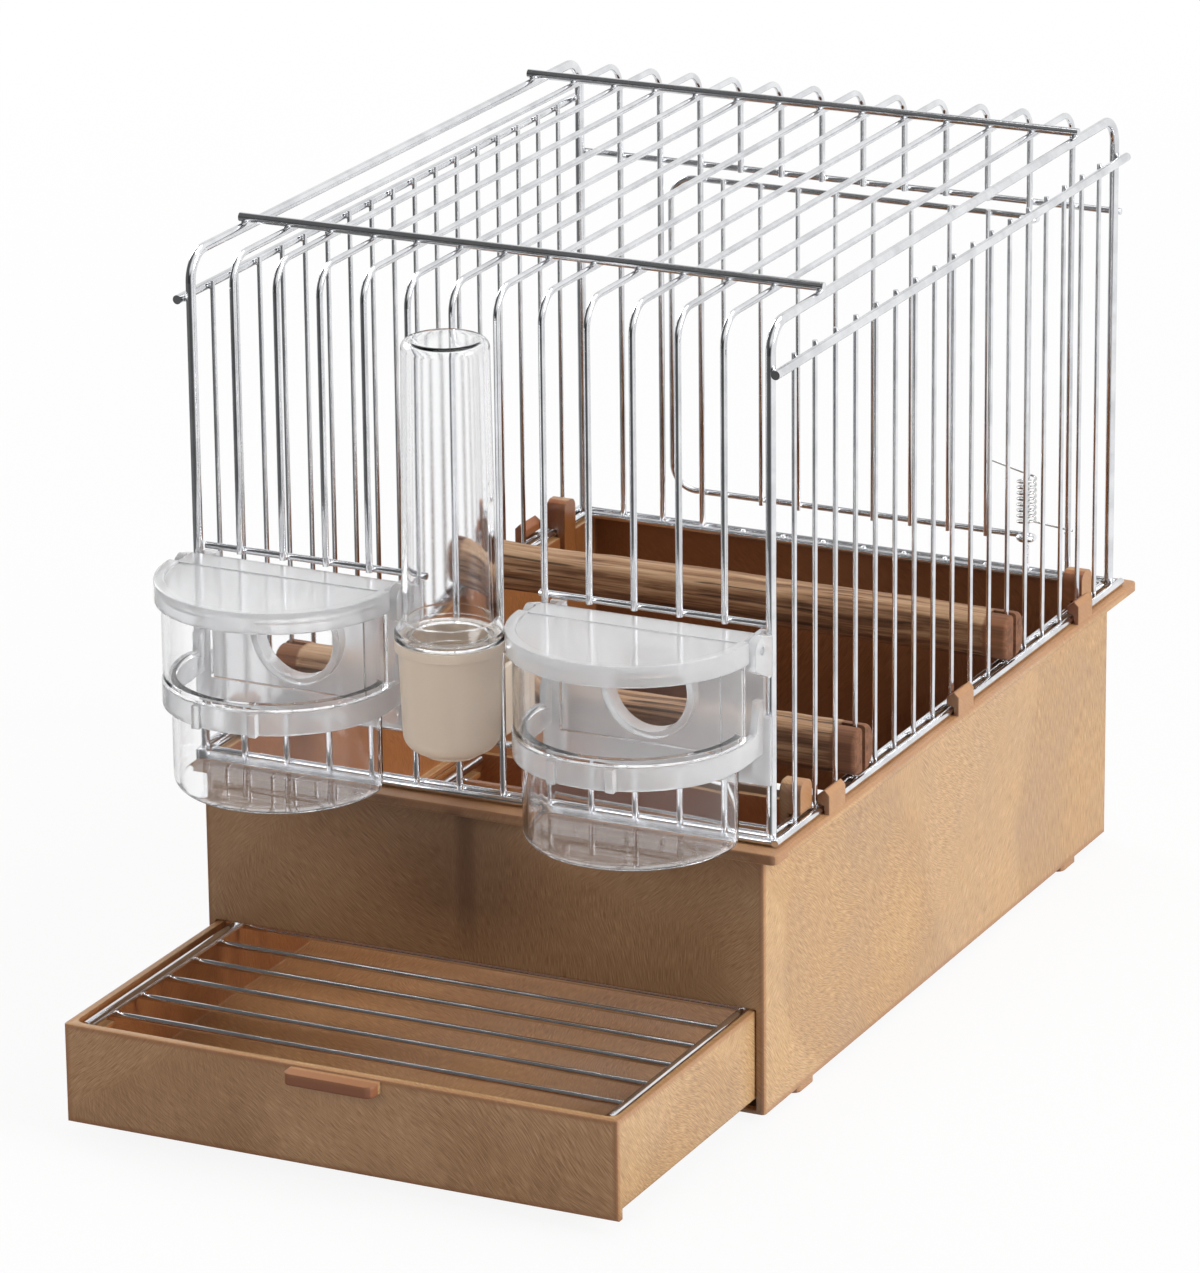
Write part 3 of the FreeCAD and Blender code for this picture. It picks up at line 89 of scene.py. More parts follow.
# %% Helpers for finishes
def new_finish(name, **sockets):
    finish = bpy.data.materials.new(name)
    finish.use_nodes = True
    shader = finish.node_tree.nodes["Principled BSDF"]
    for socket, value in sockets.items():
        shader.inputs[socket.replace("_", " ")].default_value = value
    return finish, shader


def add(tree, kind, sockets=(), **settings):
    made = tree.nodes.new(kind)
    for name, value in settings.items():
        setattr(made, name, value)
    for socket, value in dict(sockets).items():
        if isinstance(value, bpy.types.NodeSocket):
            tree.links.new(value, made.inputs[socket])
        else:
            made.inputs[socket].default_value = value
    return made


def feed(shader, **sockets):
    for socket, value in sockets.items():
        shader.id_data.links.new(value, shader.inputs[socket.replace("_", " ")])


def wear(finish, *names):
    for name in names:
        mesh = nodes[name].data
        mesh.materials.clear()
        mesh.materials.append(finish)
    print(f"{finish.name}: {len(names)} nodes")


print("finish helpers ready")

# %% The nodes that come up most
def ramp(tree, factor, *stops):
    made = add(tree, "ShaderNodeValToRGB", {0: factor})
    elements = made.color_ramp.elements
    while len(elements) < len(stops):
        elements.new(0.5)
    for element, (place, colour) in zip(elements, stops):
        element.position = place
        element.color = (*colour, 1)
    return made.outputs[0]


def calc(tree, operation, first, second=0.0, **settings):
    made = add(tree, "ShaderNodeMath", {0: first, 1: second}, operation=operation, **settings)
    return made.outputs[0]


def vector(tree, operation, first, second=(0, 0, 0)):
    made = add(tree, "ShaderNodeVectorMath", {0: first, 1: second}, operation=operation)
    return made.outputs["Value" if operation in ("DOT_PRODUCT", "LENGTH") else "Vector"]


def axes(tree, value):
    return add(tree, "ShaderNodeSeparateXYZ", {0: value}).outputs


def remap(tree, value, start, stop, low=0.0, high=1.0, kind="LINEAR"):
    sockets = {"Value": value, "From Min": start, "From Max": stop, "To Min": low, "To Max": high}
    return add(tree, "ShaderNodeMapRange", sockets, interpolation_type=kind).outputs[0]


def mix_values(tree, factor, first, second):
    sockets = {0: factor, 2: first, 3: second}
    return add(tree, "ShaderNodeMix", sockets, data_type="FLOAT").outputs[0]


def mix_colours(tree, factor, first, second, kind="MIX"):
    sockets = {0: factor, 6: first, 7: second}
    return add(tree, "ShaderNodeMix", sockets, data_type="RGBA", blend_type=kind).outputs[2]


def mix_shaders(tree, factor, first, second):
    return add(tree, "ShaderNodeMixShader", {0: factor, 1: first, 2: second}).outputs[0]


def noise(tree, place, scale, detail, rough=0.5, **settings):
    sockets = {"Vector": place, "Scale": scale, "Detail": detail, "Roughness": rough}
    return add(tree, "ShaderNodeTexNoise", sockets, **settings).outputs


def place_on_object(tree):
    return add(tree, "ShaderNodeTexCoord").outputs["Object"]


def true_normal(tree):
    return add(tree, "ShaderNodeNewGeometry").outputs["True Normal"]


print("node helpers ready")

# %% [markdown]
# The set is a pale floor under soft studio light. Bright wire needs something dark to reflect, or
# it fades into the white. A studio has that: only the walls near the camera and the panel overhead
# are lit. So the floor and the world answer each kind of ray differently. A ray from the camera,
# or one that came through clear plastic, sees white. A reflected ray sees the room: white to the
# right and behind the cage, dark to the left. The same small group of nodes paints both. Far from
# the cage the floor fades to plain white, so that no horizon shows. Under the cage the floor is
# painted dark brown, a painted shade as dim as the inside of the base above it.

# %% How bright the room is in a direction
WHITE = (1, 1, 1, 1)
TOWARDS_CAMERA = (0.43, -0.90, 0)
TO_THE_RIGHT = (0.90, 0.43, 0)
BACK_WALL = 0.9
# Places from the far left, 0, to the far right, 1, and how bright the wall is there
SIDE_WALLS = ((0.0, 0.12), (0.2, 0.03), (0.46, 0.05), (0.57, 0.3), (0.69, 1.0), (1.0, 1.0))


def room_light(tree, direction):
    towards = vector(tree, "DOT_PRODUCT", direction, TOWARDS_CAMERA)
    rightward = vector(tree, "DOT_PRODUCT", direction, TO_THE_RIGHT)
    half = add(tree, "ShaderNodeMath", {0: rightward, 1: 0.5, 2: 0.5}, operation="MULTIPLY_ADD")
    wall = ramp(tree, half.outputs[0], *[(place, (level,) * 3) for place, level in SIDE_WALLS])
    behind = remap(tree, towards, -0.45, -0.85, 0.0, BACK_WALL)
    return calc(tree, "MAXIMUM", wall, behind)


bpy.context.scene.view_settings.view_transform = "Standard"
print("room ready")

# %% Floor
FLOOR_SIZE = 8
FLOOR_HEIGHT = -0.0004
FLOOR_COLOUR = (0.8, 0.8, 0.8, 1)
UNDER_CAGE_PAINTED_SHADE = (0.16, 0.085, 0.045, 1)
UNDER_CAGE_MIDDLE = (0, 0.045, 0)
UNDER_CAGE_HALF = (0.0802, 0.12)
NEAR, FAR = 0.4, 1.3
NEAR_GLOW, FAR_GLOW = 0.9, 1.0

bpy.ops.mesh.primitive_plane_add(size=FLOOR_SIZE, location=(0, 0, FLOOR_HEIGHT))
floor = bpy.context.object
floor.name = "floor"
floor_finish, floor_shader = new_finish("pale_floor", Roughness=0.8)
tree = floor_finish.node_tree
path = add(tree, "ShaderNodeLightPath").outputs
spot = place_on_object(tree)
through, glossy = path["Is Transmission Ray"], path["Is Glossy Ray"]
mirrored = calc(tree, "SUBTRACT", glossy, through, use_clamp=True)
level = mix_values(tree, mirrored, 1.0, room_light(tree, vector(tree, "NORMALIZE", spot)))
seen = calc(tree, "ADD", calc(tree, "ADD", path["Is Camera Ray"], glossy), through)
away = vector(tree, "LENGTH", spot)
fade = remap(tree, away, NEAR, FAR, NEAR_GLOW, FAR_GLOW, "SMOOTHSTEP")
share = calc(tree, "MULTIPLY", calc(tree, "MINIMUM", seen, 1.0), fade)
inward = axes(tree, vector(tree, "ABSOLUTE", vector(tree, "SUBTRACT", spot, UNDER_CAGE_MIDDLE)))
beside = calc(tree, "GREATER_THAN", inward[0], UNDER_CAGE_HALF[0])
beyond = calc(tree, "GREATER_THAN", inward[1], UNDER_CAGE_HALF[1])
clear = calc(tree, "MAXIMUM", beside, beyond)
share = calc(tree, "MULTIPLY", share, clear)
# painted shade: under the cage the floor is coloured dark brown, standing in for the shade of the
# base above it
feed(floor_shader, Base_Color=mix_colours(tree, clear, UNDER_CAGE_PAINTED_SHADE, FLOOR_COLOUR))
glow = add(tree, "ShaderNodeEmission", {"Color": WHITE, "Strength": level}).outputs[0]
both = mix_shaders(tree, share, floor_shader.outputs[0], glow)
tree.links.new(both, tree.nodes["Material Output"].inputs[0])
floor.data.materials.append(floor_finish)
print("floor laid")

# %% World
AMBIENT = 0.17
PANEL_LEVEL = 0.95
PANEL_LEFT_SHARE = 0.12


def background(tree, strength):
    return add(tree, "ShaderNodeBackground", {"Color": WHITE, "Strength": strength}).outputs[0]


world = bpy.data.worlds.new("studio")
bpy.context.scene.world = world
world.use_nodes = True
tree = world.node_tree
tree.nodes.clear()
path = add(tree, "ShaderNodeLightPath").outputs
direction = add(tree, "ShaderNodeTexCoord").outputs["Generated"]
side = axes(tree, direction)
overhead = remap(tree, side[2], 0.08, 0.5, 0.0, PANEL_LEVEL, "SMOOTHSTEP")
panel = remap(tree, side[0], -0.45, 0.1, PANEL_LEFT_SHARE, 1.0, "SMOOTHSTEP")
above = calc(tree, "MULTIPLY", overhead, panel)
room = background(tree, calc(tree, "MAXIMUM", above, room_light(tree, direction)))
reflected = mix_shaders(tree, path["Is Glossy Ray"], background(tree, AMBIENT), room)
direct = calc(tree, "ADD", path["Is Camera Ray"], path["Is Transmission Ray"], use_clamp=True)
sky = mix_shaders(tree, direct, reflected, background(tree, 1.0))
add(tree, "ShaderNodeOutputWorld", {0: sky})
print("world lit")

# %% Lamps
LAMP_AIM = Vector((0, 0.03, 0.1))


def lamp(name, place, size, watts):
    bpy.ops.object.light_add(type="AREA", location=place)
    made = bpy.context.object
    made.name = name
    made.data.size = size
    made.data.energy = watts
    made.rotation_euler = (LAMP_AIM - Vector(place)).to_track_quat("-Z", "Y").to_euler()
    return made


lamp("key_lamp", (1.75, 0.05, 1.1), 1.0, 31)
lamp("top_lamp", (0.1, 0.5, 2.0), 1.4, 17)
lamp("rim_lamp", (-1.5, 0.75, 0.9), 0.8, 10)
fill = lamp("fill_lamp", (-0.7, -1.9, 1.0), 1.4, 14)
fill.visible_glossy = False
print("four lamps")

# %% [markdown]
# Plated wire is bright metal, though not a mirror: drawing leaves fine marks, and the plating
# clouds a little. One noise clouds the colour and roughens the shine in patches.

# %% Plated wire
WIRE_WORDS = ("hoop", "rail", "wires", "bar", "stubs", "door_frame")


def plated(name, colour, dull, rough):
    finish, shader = new_finish(name, Metallic=1.0)
    tree = finish.node_tree
    place = place_on_object(tree)
    cloud = noise(tree, place, 90.0, 4.0, 0.6)[0]
    tint = ramp(tree, cloud, (0.35, dull), (0.62, colour))
    shine = remap(tree, cloud, 0.3, 0.7, rough * 1.5, rough)
    marks = noise(tree, place, 1500.0, 2.0)[0]
    grain = add(tree, "ShaderNodeBump", {"Height": marks, "Strength": 0.06, "Distance": 0.0002})
    feed(shader, Base_Color=tint, Roughness=shine, Normal=grain.outputs[0])
    return finish


wire_finish = plated("plated_wire", (0.82, 0.83, 0.85), (0.66, 0.67, 0.69), 0.11)
wear(wire_finish, *[name for name in nodes if any(word in name for word in WIRE_WORDS)])
spring_finish = plated("spring_wire", (0.7, 0.7, 0.7), (0.55, 0.55, 0.55), 0.2)
wear(spring_finish, "door_spring")

# %% [markdown]
# The base and the drawer are moulded from plastic filled with wood fibre. Seen close, the surface
# is a felt of short hairs, each under half a millimetre wide, that lie flat in every wall. The
# melt lays them one way here and another way there as it fills the mould. A noise stretched in
# space would show its hairs end-on on some walls, so each wall is first flattened to two
# coordinates by the way it faces. Stretched noises at three angles are the hairs, and soft cells
# choose between them. Where the melt meets at the middle of the front, a darker line is left, and
# the broad wash beside it is partly painted shade. Thin edges are painted redder for the light
# they let through. The inner walls, lit mostly by each other, and the walls facing the front get
# painted shade, darker and redder.

# %% A felt of hairs that lies flat in each wall
HAIR_SIZE = (0.00024, 0.0042, 1)
HAIR_ANGLES = (0.15, -0.75, 0.95)
FACES_AN_AXIS = 0.6
FLOW_BEND = 0.022
CLOUD_SHARE = 0.36


def flat_in_wall(tree, place):
    facing = axes(tree, vector(tree, "ABSOLUTE", true_normal(tree)))
    where = axes(tree, place)
    sideways = calc(tree, "GREATER_THAN", facing[0], FACES_AN_AXIS)
    upward = calc(tree, "GREATER_THAN", facing[2], FACES_AN_AXIS)
    across = mix_values(tree, sideways, where[0], where[1])
    up = mix_values(tree, upward, where[2], where[1])
    return add(tree, "ShaderNodeCombineXYZ", {0: across, 1: up}).outputs[0]


def hairs(tree, flat, angle):
    sockets = {"Vector": flat, "Rotation": (0, 0, angle), "Scale": HAIR_SIZE}
    along = add(tree, "ShaderNodeMapping", sockets, vector_type="TEXTURE").outputs[0]
    return noise(tree, along, 1.0, 2.0, 0.6, noise_dimensions="2D")[0]


def fibre_felt(tree, place):
    """The hairs, the clouds in the melt, and both together as a share of pale fibre."""
    flow = noise(tree, place, 16.0, 2.0)["Color"]
    drift = vector(tree, "SUBTRACT", flow, (0.5, 0.5, 0.5))
    bend = add(tree, "ShaderNodeVectorMath", {0: drift, "Scale": FLOW_BEND}, operation="SCALE")
    bent = vector(tree, "ADD", place, bend.outputs[0])
    flat = flat_in_wall(tree, bent)
    sockets = {"Vector": bent, "Scale": 15.0, "Smoothness": 0.3}
    cells = add(tree, "ShaderNodeTexVoronoi", sockets, feature="SMOOTH_F1").outputs["Color"]
    cell = add(tree, "ShaderNodeSeparateColor", {0: cells}).outputs
    picks = [remap(tree, cell[channel], 0.34, 0.66) for channel in (0, 1)]
    first, second, third = [hairs(tree, flat, angle) for angle in HAIR_ANGLES]
    felt = mix_values(tree, picks[1], mix_values(tree, picks[0], first, second), third)
    clouds = noise(tree, bent, 20.0, 6.0, 0.6)[0]
    broad = mix_values(tree, 0.18, clouds, picks[0])
    return felt, clouds, mix_values(tree, CLOUD_SHARE, felt, broad)


print("felt ready")

# %% Where the plastic is darker or redder
SEAM_X = -0.0042
SEAM_REACH, WASH_REACH = 0.009, 0.042
SEAM_DEPTH, WASH_DEPTH = 0.75, 0.5
EDGE_REACH = 0.0018
EDGE_SHARE = 0.6
WALLS_MIDDLE = (0, 0.0425, 0)
DRAWER_FLOOR = 0.0135
DRAWER_FLOOR_SHARE = 0.45


def melt_seam_and_shade(tree, where):
    """The dark line where the melt meets, high on the front, and the wash beside it, which is
    partly painted shade.
    """
    aside = calc(tree, "ABSOLUTE", calc(tree, "SUBTRACT", where[0], SEAM_X))
    line = remap(tree, aside, 0.0, SEAM_REACH, SEAM_DEPTH, 0.0, "SMOOTHERSTEP")
    wash = remap(tree, aside, 0.0, WASH_REACH, WASH_DEPTH, 0.0, "SMOOTHSTEP")
    front = remap(tree, where[1], -0.065, -0.075)
    upper = remap(tree, where[2], 0.030, 0.050)
    seam = calc(tree, "MULTIPLY", calc(tree, "MAXIMUM", line, wash), front)
    return calc(tree, "MULTIPLY", seam, upper)


def near_edges(tree, place, low, high):
    """EDGE_SHARE at the edges of a box, falling to 0 within EDGE_REACH."""
    middle = [(a + b) / 2 for a, b in zip(low, high)]
    half = [(b - a) / 2 for a, b in zip(low, high)]
    offset = vector(tree, "ABSOLUTE", vector(tree, "SUBTRACT", place, middle))
    depth = vector(tree, "SUBTRACT", offset, half)
    rest = vector(tree, "DOT_PRODUCT", depth, (1, 1, 1))
    depths = axes(tree, depth)
    for kind in ("MAXIMUM", "MINIMUM"):
        outer = calc(tree, kind, calc(tree, kind, depths[0], depths[1]), depths[2])
        rest = calc(tree, "SUBTRACT", rest, outer)
    return remap(tree, rest, -EDGE_REACH, -EDGE_REACH * 0.5, 0.0, EDGE_SHARE)


def inner_faces(tree, place):
    """1 on walls that face the middle of the cage, less on the drawer's floor, else 0."""
    normal = true_normal(tree)
    centred = vector(tree, "SUBTRACT", place, WALLS_MIDDLE)
    centred = vector(tree, "MULTIPLY", centred, (1, 1, 0))
    outward = vector(tree, "DOT_PRODUCT", centred, normal)
    inner = calc(tree, "LESS_THAN", outward, -0.01)
    deep = calc(tree, "LESS_THAN", axes(tree, place)[2], DRAWER_FLOOR)
    upward = calc(tree, "GREATER_THAN", axes(tree, normal)[2], 0.5)
    bottom = calc(tree, "MULTIPLY", calc(tree, "MULTIPLY", deep, upward), DRAWER_FLOOR_SHARE)
    return calc(tree, "MAXIMUM", inner, bottom)


print("shading of the plastic ready")

# %% Wood-fibre plastic
DARK, MIDDLE, PALE = (0.32, 0.168, 0.068), (0.52, 0.306, 0.138), (0.72, 0.475, 0.240)
EDGE_COLOUR = (0.40, 0.175, 0.068, 1)
SEAM_AND_SHADE_COLOUR = (0.1, 0.045, 0.02, 1)
GRIP_COLOUR = (0.30, 0.105, 0.044, 1)
INNER_PAINTED_SHADE = (0.74, 0.48, 0.33, 1)


def fibre_plastic(name, low, high, front_painted_shade):
    finish, shader = new_finish(name, Specular_IOR_Level=0.7)
    tree = finish.node_tree
    place = place_on_object(tree)
    where = axes(tree, place)
    felt, clouds, share = fibre_felt(tree, place)
    colour = ramp(tree, share, (0.31, DARK), (0.5, MIDDLE), (0.69, PALE))
    # the seam line is the melt's own mark; the broad wash beside it is partly painted shade on the
    # upper front
    colour = mix_colours(tree, melt_seam_and_shade(tree, where), colour, SEAM_AND_SHADE_COLOUR)
    clips = remap(tree, where[2], 0.0868, 0.0878, 0.0, 0.3)
    flange = remap(tree, where[2], 0.0776, 0.0784, 0.0, 0.15)
    colour = mix_colours(tree, calc(tree, "MAXIMUM", clips, flange), colour, EDGE_COLOUR)
    grip = remap(tree, where[1], -0.1692, -0.1697, 0.0, 0.95)
    colour = mix_colours(tree, grip, colour, GRIP_COLOUR)
    # painted light: near the edges the colour turns redder, standing in for light that passes
    # through thin plastic
    colour = mix_colours(tree, near_edges(tree, place, low, high), colour, EDGE_COLOUR)
    # painted shade: inner walls, and more lightly the drawer's floor, are made darker and redder
    # for the dim light they get
    colour = mix_colours(tree, inner_faces(tree, place), colour, INNER_PAINTED_SHADE, "MULTIPLY")
    # painted shade: walls that face the front are multiplied by a darker colour, standing in for
    # the shade the front lies in
    forward = calc(tree, "LESS_THAN", axes(tree, true_normal(tree))[1], -0.7)
    colour = mix_colours(tree, forward, colour, front_painted_shade, "MULTIPLY")
    shine = remap(tree, clouds, 0.35, 0.65, 0.30, 0.55)
    rounded = add(tree, "ShaderNodeBevel", {"Radius": 0.001}, samples=6).outputs[0]
    sockets = {"Height": felt, "Strength": 0.2, "Distance": 0.0003, "Normal": rounded}
    grain = add(tree, "ShaderNodeBump", sockets).outputs[0]
    feed(shader, Base_Color=colour, Roughness=shine, Normal=grain)
    return finish


base_walls = (-0.0867, -0.08195, 0.002), (0.0867, 0.16685, 0.081)
drawer_walls = (-0.0838, -0.16795, 0.0035), (0.0838, 0.07735, 0.0322)
# the last colour of each finish is the painted shade of its front-facing walls
wear(fibre_plastic("fibre_base", *base_walls, (0.55, 0.51, 0.53, 1)), "base")
wear(fibre_plastic("fibre_drawer", *drawer_walls, (0.7, 0.65, 0.68, 1)), "drawer_tray")

# %% [markdown]
# The perches are split branches: no two alike, roughly square with soft corners, furrowed along
# the grain. Their ends are dipped red-brown and slotted, so that each end straddles a wire of the
# side. A turned rod would be easy to add but looks like broom handle. Here a long block is
# bevelled and subdivided, two displacements cut the furrows and the slow bends, and a cutter opens
# the slots.

# %% Choosing edges and faces in edit mode
def pick(kind, test):
    mesh = bmesh.from_edit_mesh(bpy.context.object.data)
    bpy.ops.mesh.select_mode(type=kind)
    bpy.ops.mesh.select_all(action="DESELECT")
    for item in {"VERT": mesh.verts, "EDGE": mesh.edges, "FACE": mesh.faces}[kind]:
        item.select_set(test(item))
    mesh.select_flush_mode()
    bmesh.update_edit_mesh(bpy.context.object.data)


def run(edge):
    """How far an edge runs along each axis."""
    return [abs(a - b) for a, b in zip(edge.verts[0].co, edge.verts[1].co)]


def apply_modifier(piece, kind, **settings):
    bpy.ops.object.select_all(action="DESELECT")
    piece.select_set(True)
    bpy.context.view_layer.objects.active = piece
    modifier = piece.modifiers.new(kind.lower(), kind)
    for name, value in settings.items():
        setattr(modifier, name, value)
    bpy.ops.object.modifier_apply(modifier=modifier.name)


print("edit-mode helpers ready")

# %% Perches
PERCH_HALF = 0.0067
SIDE_BEVEL, END_BEVEL = 0.0046, 0.0011
DIPPED_FROM = 0.0836
SLOT_FROM = 0.08405
CUTTER_SIZE = (0.012, 0.0021, 0.03)
FURROW_SIZE, FURROW_DEPTH = (0.05, 0.0024, 0.0024), 0.0011
BEND_SIZE, BEND_DEPTH = (0.035, 0.02, 0.02), 0.0018


def furrow(piece, kind, size, deep, start):
    """Push the branch in and out by a cloud pattern stretched to the given size."""
    pattern = bpy.data.textures.new(kind, "CLOUDS")
    pattern.noise_scale = 1.0
    pattern.noise_depth = 3
    bpy.ops.object.empty_add(location=start)
    guide = bpy.context.object
    guide.scale = size
    bpy.context.view_layer.update()
    apply_modifier(
        piece, "DISPLACE", texture=pattern, texture_coords="OBJECT", texture_coords_object=guide,
        strength=deep, mid_level=0.55, vertex_group="branch",
    )
    bpy.data.objects.remove(guide)


def round_and_divide():
    """Round the block's long edges and its ends, then cut it finely enough to displace."""
    pick("EDGE", lambda edge: run(edge)[0] > 0.01)
    bpy.ops.mesh.bevel(offset=SIDE_BEVEL, segments=8, affect="EDGES")
    pick("FACE", lambda face: abs(face.normal.x) > 0.9)
    bpy.ops.mesh.bevel(offset=END_BEVEL, segments=3, affect="EDGES")
    pick("EDGE", lambda edge: run(edge)[0] > 0.1)
    bpy.ops.mesh.subdivide(number_cuts=100)
    pick("EDGE", lambda edge: run(edge)[0] > 0.0012)
    bpy.ops.mesh.subdivide(number_cuts=1)
    pick("EDGE", lambda edge: max(run(edge)[1:]) > 0.003)
    bpy.ops.mesh.subdivide(number_cuts=4)


def branch(node, start):
    low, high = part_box(node)
    middle = (Vector(low) + Vector(high)) / 2
    bpy.ops.object.select_all(action="DESELECT")
    bpy.ops.mesh.primitive_cube_add(
        size=1, location=middle, scale=(high[0] - low[0], PERCH_HALF * 2, PERCH_HALF * 2)
    )
    piece = bpy.context.object
    piece.name = f"{node}_branch"
    bpy.ops.object.transform_apply(location=True, rotation=True, scale=True)
    bpy.ops.object.mode_set(mode="EDIT")
    round_and_divide()
    pick("VERT", lambda vert: abs(vert.co.x) < DIPPED_FROM)
    bpy.ops.object.vertex_group_assign_new()
    bpy.ops.object.mode_set(mode="OBJECT")
    piece.vertex_groups[0].name = "branch"
    furrow(piece, "furrows", FURROW_SIZE, FURROW_DEPTH, start)
    furrow(piece, "bends", BEND_SIZE, BEND_DEPTH, start)
    for end in (-1, 1):
        cutter_x = end * (SLOT_FROM + CUTTER_SIZE[0] / 2)
        bpy.ops.mesh.primitive_cube_add(
            size=1, location=(cutter_x, middle.y, middle.z), scale=CUTTER_SIZE
        )
        cutter = bpy.context.object
        apply_modifier(piece, "BOOLEAN", operation="DIFFERENCE", object=cutter, solver="EXACT")
        bpy.data.objects.remove(cutter)
    bpy.ops.object.shade_smooth_by_angle(angle=math.radians(42))
    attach(piece, node)
    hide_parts(node)
    return piece


perches = [branch("perch_front", (0.3, 0.0, 0.1)), branch("perch_rear", (0.1, 0.02, 0.13))]
print([len(perch.data.polygons) for perch in perches])

# %% [markdown]
# Weathered wood is streaked along its length: pale ridges, brown furrows and a few long dark
# checks. Light from above is painted in: faces that look up are painted paler and faces that look
# down darker, so the way a face looks shifts the streaks. The dipped ends need no second material,
# because the place along the branch already tells them.

# %% Perch wood
STREAK_SCALE, CHECK_SCALE = (16, 520, 520), (22, 900, 900)
WOOD_STOPS = (
    (0.30, (0.05, 0.020, 0.009)), (0.44, (0.18, 0.083, 0.037)),
    (0.57, (0.38, 0.215, 0.112)), (0.76, (0.57, 0.38, 0.23)),
)
STAIN_STOPS = ((0.3, (0.10, 0.036, 0.015)), (0.7, (0.27, 0.112, 0.05)))
CHECK_COLOUR = (0.05, 0.026, 0.015, 1)
DIP_SOFT = 0.0004


def stretched(tree, place, scale):
    return add(tree, "ShaderNodeMapping", {"Vector": place, "Scale": scale}).outputs[0]


def perch_wood(name):
    finish, shader = new_finish(name, Roughness=0.75)
    tree = finish.node_tree
    place = place_on_object(tree)
    streak = noise(tree, stretched(tree, place, STREAK_SCALE), 1.0, 5.0, 0.62)[0]
    facing = axes(tree, add(tree, "ShaderNodeNewGeometry").outputs["Normal"])
    # painted light and shade: faces that look up are painted paler, faces that look down darker
    streak_lit_from_above = calc(tree, "ADD", streak, remap(tree, facing[2], -0.1, 0.8, -0.05, 0.08))
    wood = ramp(tree, streak_lit_from_above, *WOOD_STOPS)
    check = noise(tree, stretched(tree, place, CHECK_SCALE), 1.0, 1.0)[0]
    wood = mix_colours(tree, remap(tree, check, 0.36, 0.30, 0.0, 0.85), wood, CHECK_COLOUR)
    reach = calc(tree, "ABSOLUTE", axes(tree, place)[0])
    dipped = remap(tree, reach, DIPPED_FROM - DIP_SOFT, DIPPED_FROM + DIP_SOFT)
    whole = mix_colours(tree, dipped, wood, ramp(tree, streak, *STAIN_STOPS))
    grain = add(tree, "ShaderNodeBump", {"Height": streak, "Strength": 0.5, "Distance": 0.0008})
    feed(shader, Base_Color=whole, Normal=grain.outputs[0])
    return finish


perch_finish = perch_wood("perch_wood")
wear(perch_finish, "perch_front", "perch_rear")
for perch in perches:
    perch.data.materials.clear()
    perch.data.materials.append(perch_finish)

# %% [markdown]
# The back door shuts by a torsion spring wound round its hinge wire. One end rests on the cage and
# the other on the door, so when the door swings, the coil winds tighter between them. A screw of a
# small circle is the coil. Its two ends are then extruded into the arms and spun into the hooks.

# %% Door spring
SPRING_AXIS = Vector((0.06075, 0.16445, 0.0976))
COIL_RADIUS = 0.00275
SPRING_WIRE = 0.00035
COIL_PITCH = 0.0018
TURNS = 8
STEPS_A_TURN = 24
HOOK_BEND = 0.001
HOOK_END = 0.0022

bpy.ops.object.select_all(action="DESELECT")
bpy.ops.mesh.primitive_circle_add(
    vertices=10, radius=SPRING_WIRE, fill_type="NOTHING", location=SPRING_AXIS,
    rotation=(0, math.pi / 2, 0),
)
spring = bpy.context.object
spring.name = "door_spring_coil"
bpy.ops.object.transform_apply(location=False, rotation=True, scale=True)
bpy.ops.object.mode_set(mode="EDIT")
bpy.ops.mesh.select_all(action="SELECT")
bpy.ops.transform.translate(value=(0, COIL_RADIUS, 0))
bpy.ops.object.mode_set(mode="OBJECT")
apply_modifier(
    spring, "SCREW", axis="Z", angle=2 * math.pi, screw_offset=COIL_PITCH, iterations=TURNS,
    steps=STEPS_A_TURN, render_steps=STEPS_A_TURN, use_smooth_shade=True,
)
bpy.ops.object.transform_apply(location=True, rotation=True, scale=True)
print(f"coil of {TURNS} turns, {[round(v * 1000, 2) for v in spring.dimensions]} mm")

# %% Arms and hooks of the spring
CAGE_ARM, DOOR_ARM = (0.01385, -0.0014), (-0.01365, 0.0034)
coil_top = SPRING_AXIS.z + COIL_PITCH * TURNS


def arm(level, sideways, drop):
    """Draw the coil's open end at a level out into an arm, then spin its tip into a hook."""
    tip = Vector((SPRING_AXIS.x, SPRING_AXIS.y + COIL_RADIUS, level))
    pick("VERT", lambda vert: (vert.co - tip).length < SPRING_WIRE * 1.02)
    bpy.ops.mesh.extrude_region_move(TRANSFORM_OT_translate={"value": (sideways, 0, drop)})
    bend = tip + Vector((sideways, -HOOK_BEND, drop))
    turn = math.copysign(math.pi / 2, sideways)
    bpy.ops.mesh.spin(steps=5, angle=-turn, center=bend, axis=(0, 0, 1))
    bpy.ops.mesh.extrude_region_move(TRANSFORM_OT_translate={"value": (0, -HOOK_END, 0)})
    bpy.ops.mesh.edge_face_add()


bpy.ops.object.mode_set(mode="EDIT")
arm(SPRING_AXIS.z, *CAGE_ARM)
arm(coil_top, *DOOR_ARM)
bpy.ops.mesh.select_all(action="SELECT")
bpy.ops.mesh.normals_make_consistent(inside=False)
bpy.ops.object.mode_set(mode="OBJECT")
bpy.ops.object.shade_smooth_by_angle(angle=math.radians(60))
spring.data.materials.append(spring_finish)
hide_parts("door_spring")
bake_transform(spring)
print([round(v * 1000, 2) for v in (*spring.bound_box[0], *spring.bound_box[6])])

# %% [markdown]
# Every wire crossing of the cage is spot welded: the wires sink into each other, and a little
# metal squeezes out at the sides. The frame leaves the wires a hair apart, so each crossing gets a
# bead. One bead is modelled, roughened so that it isn't a ball, and copied to the crossings. A few
# dozen faces are enough at this size.

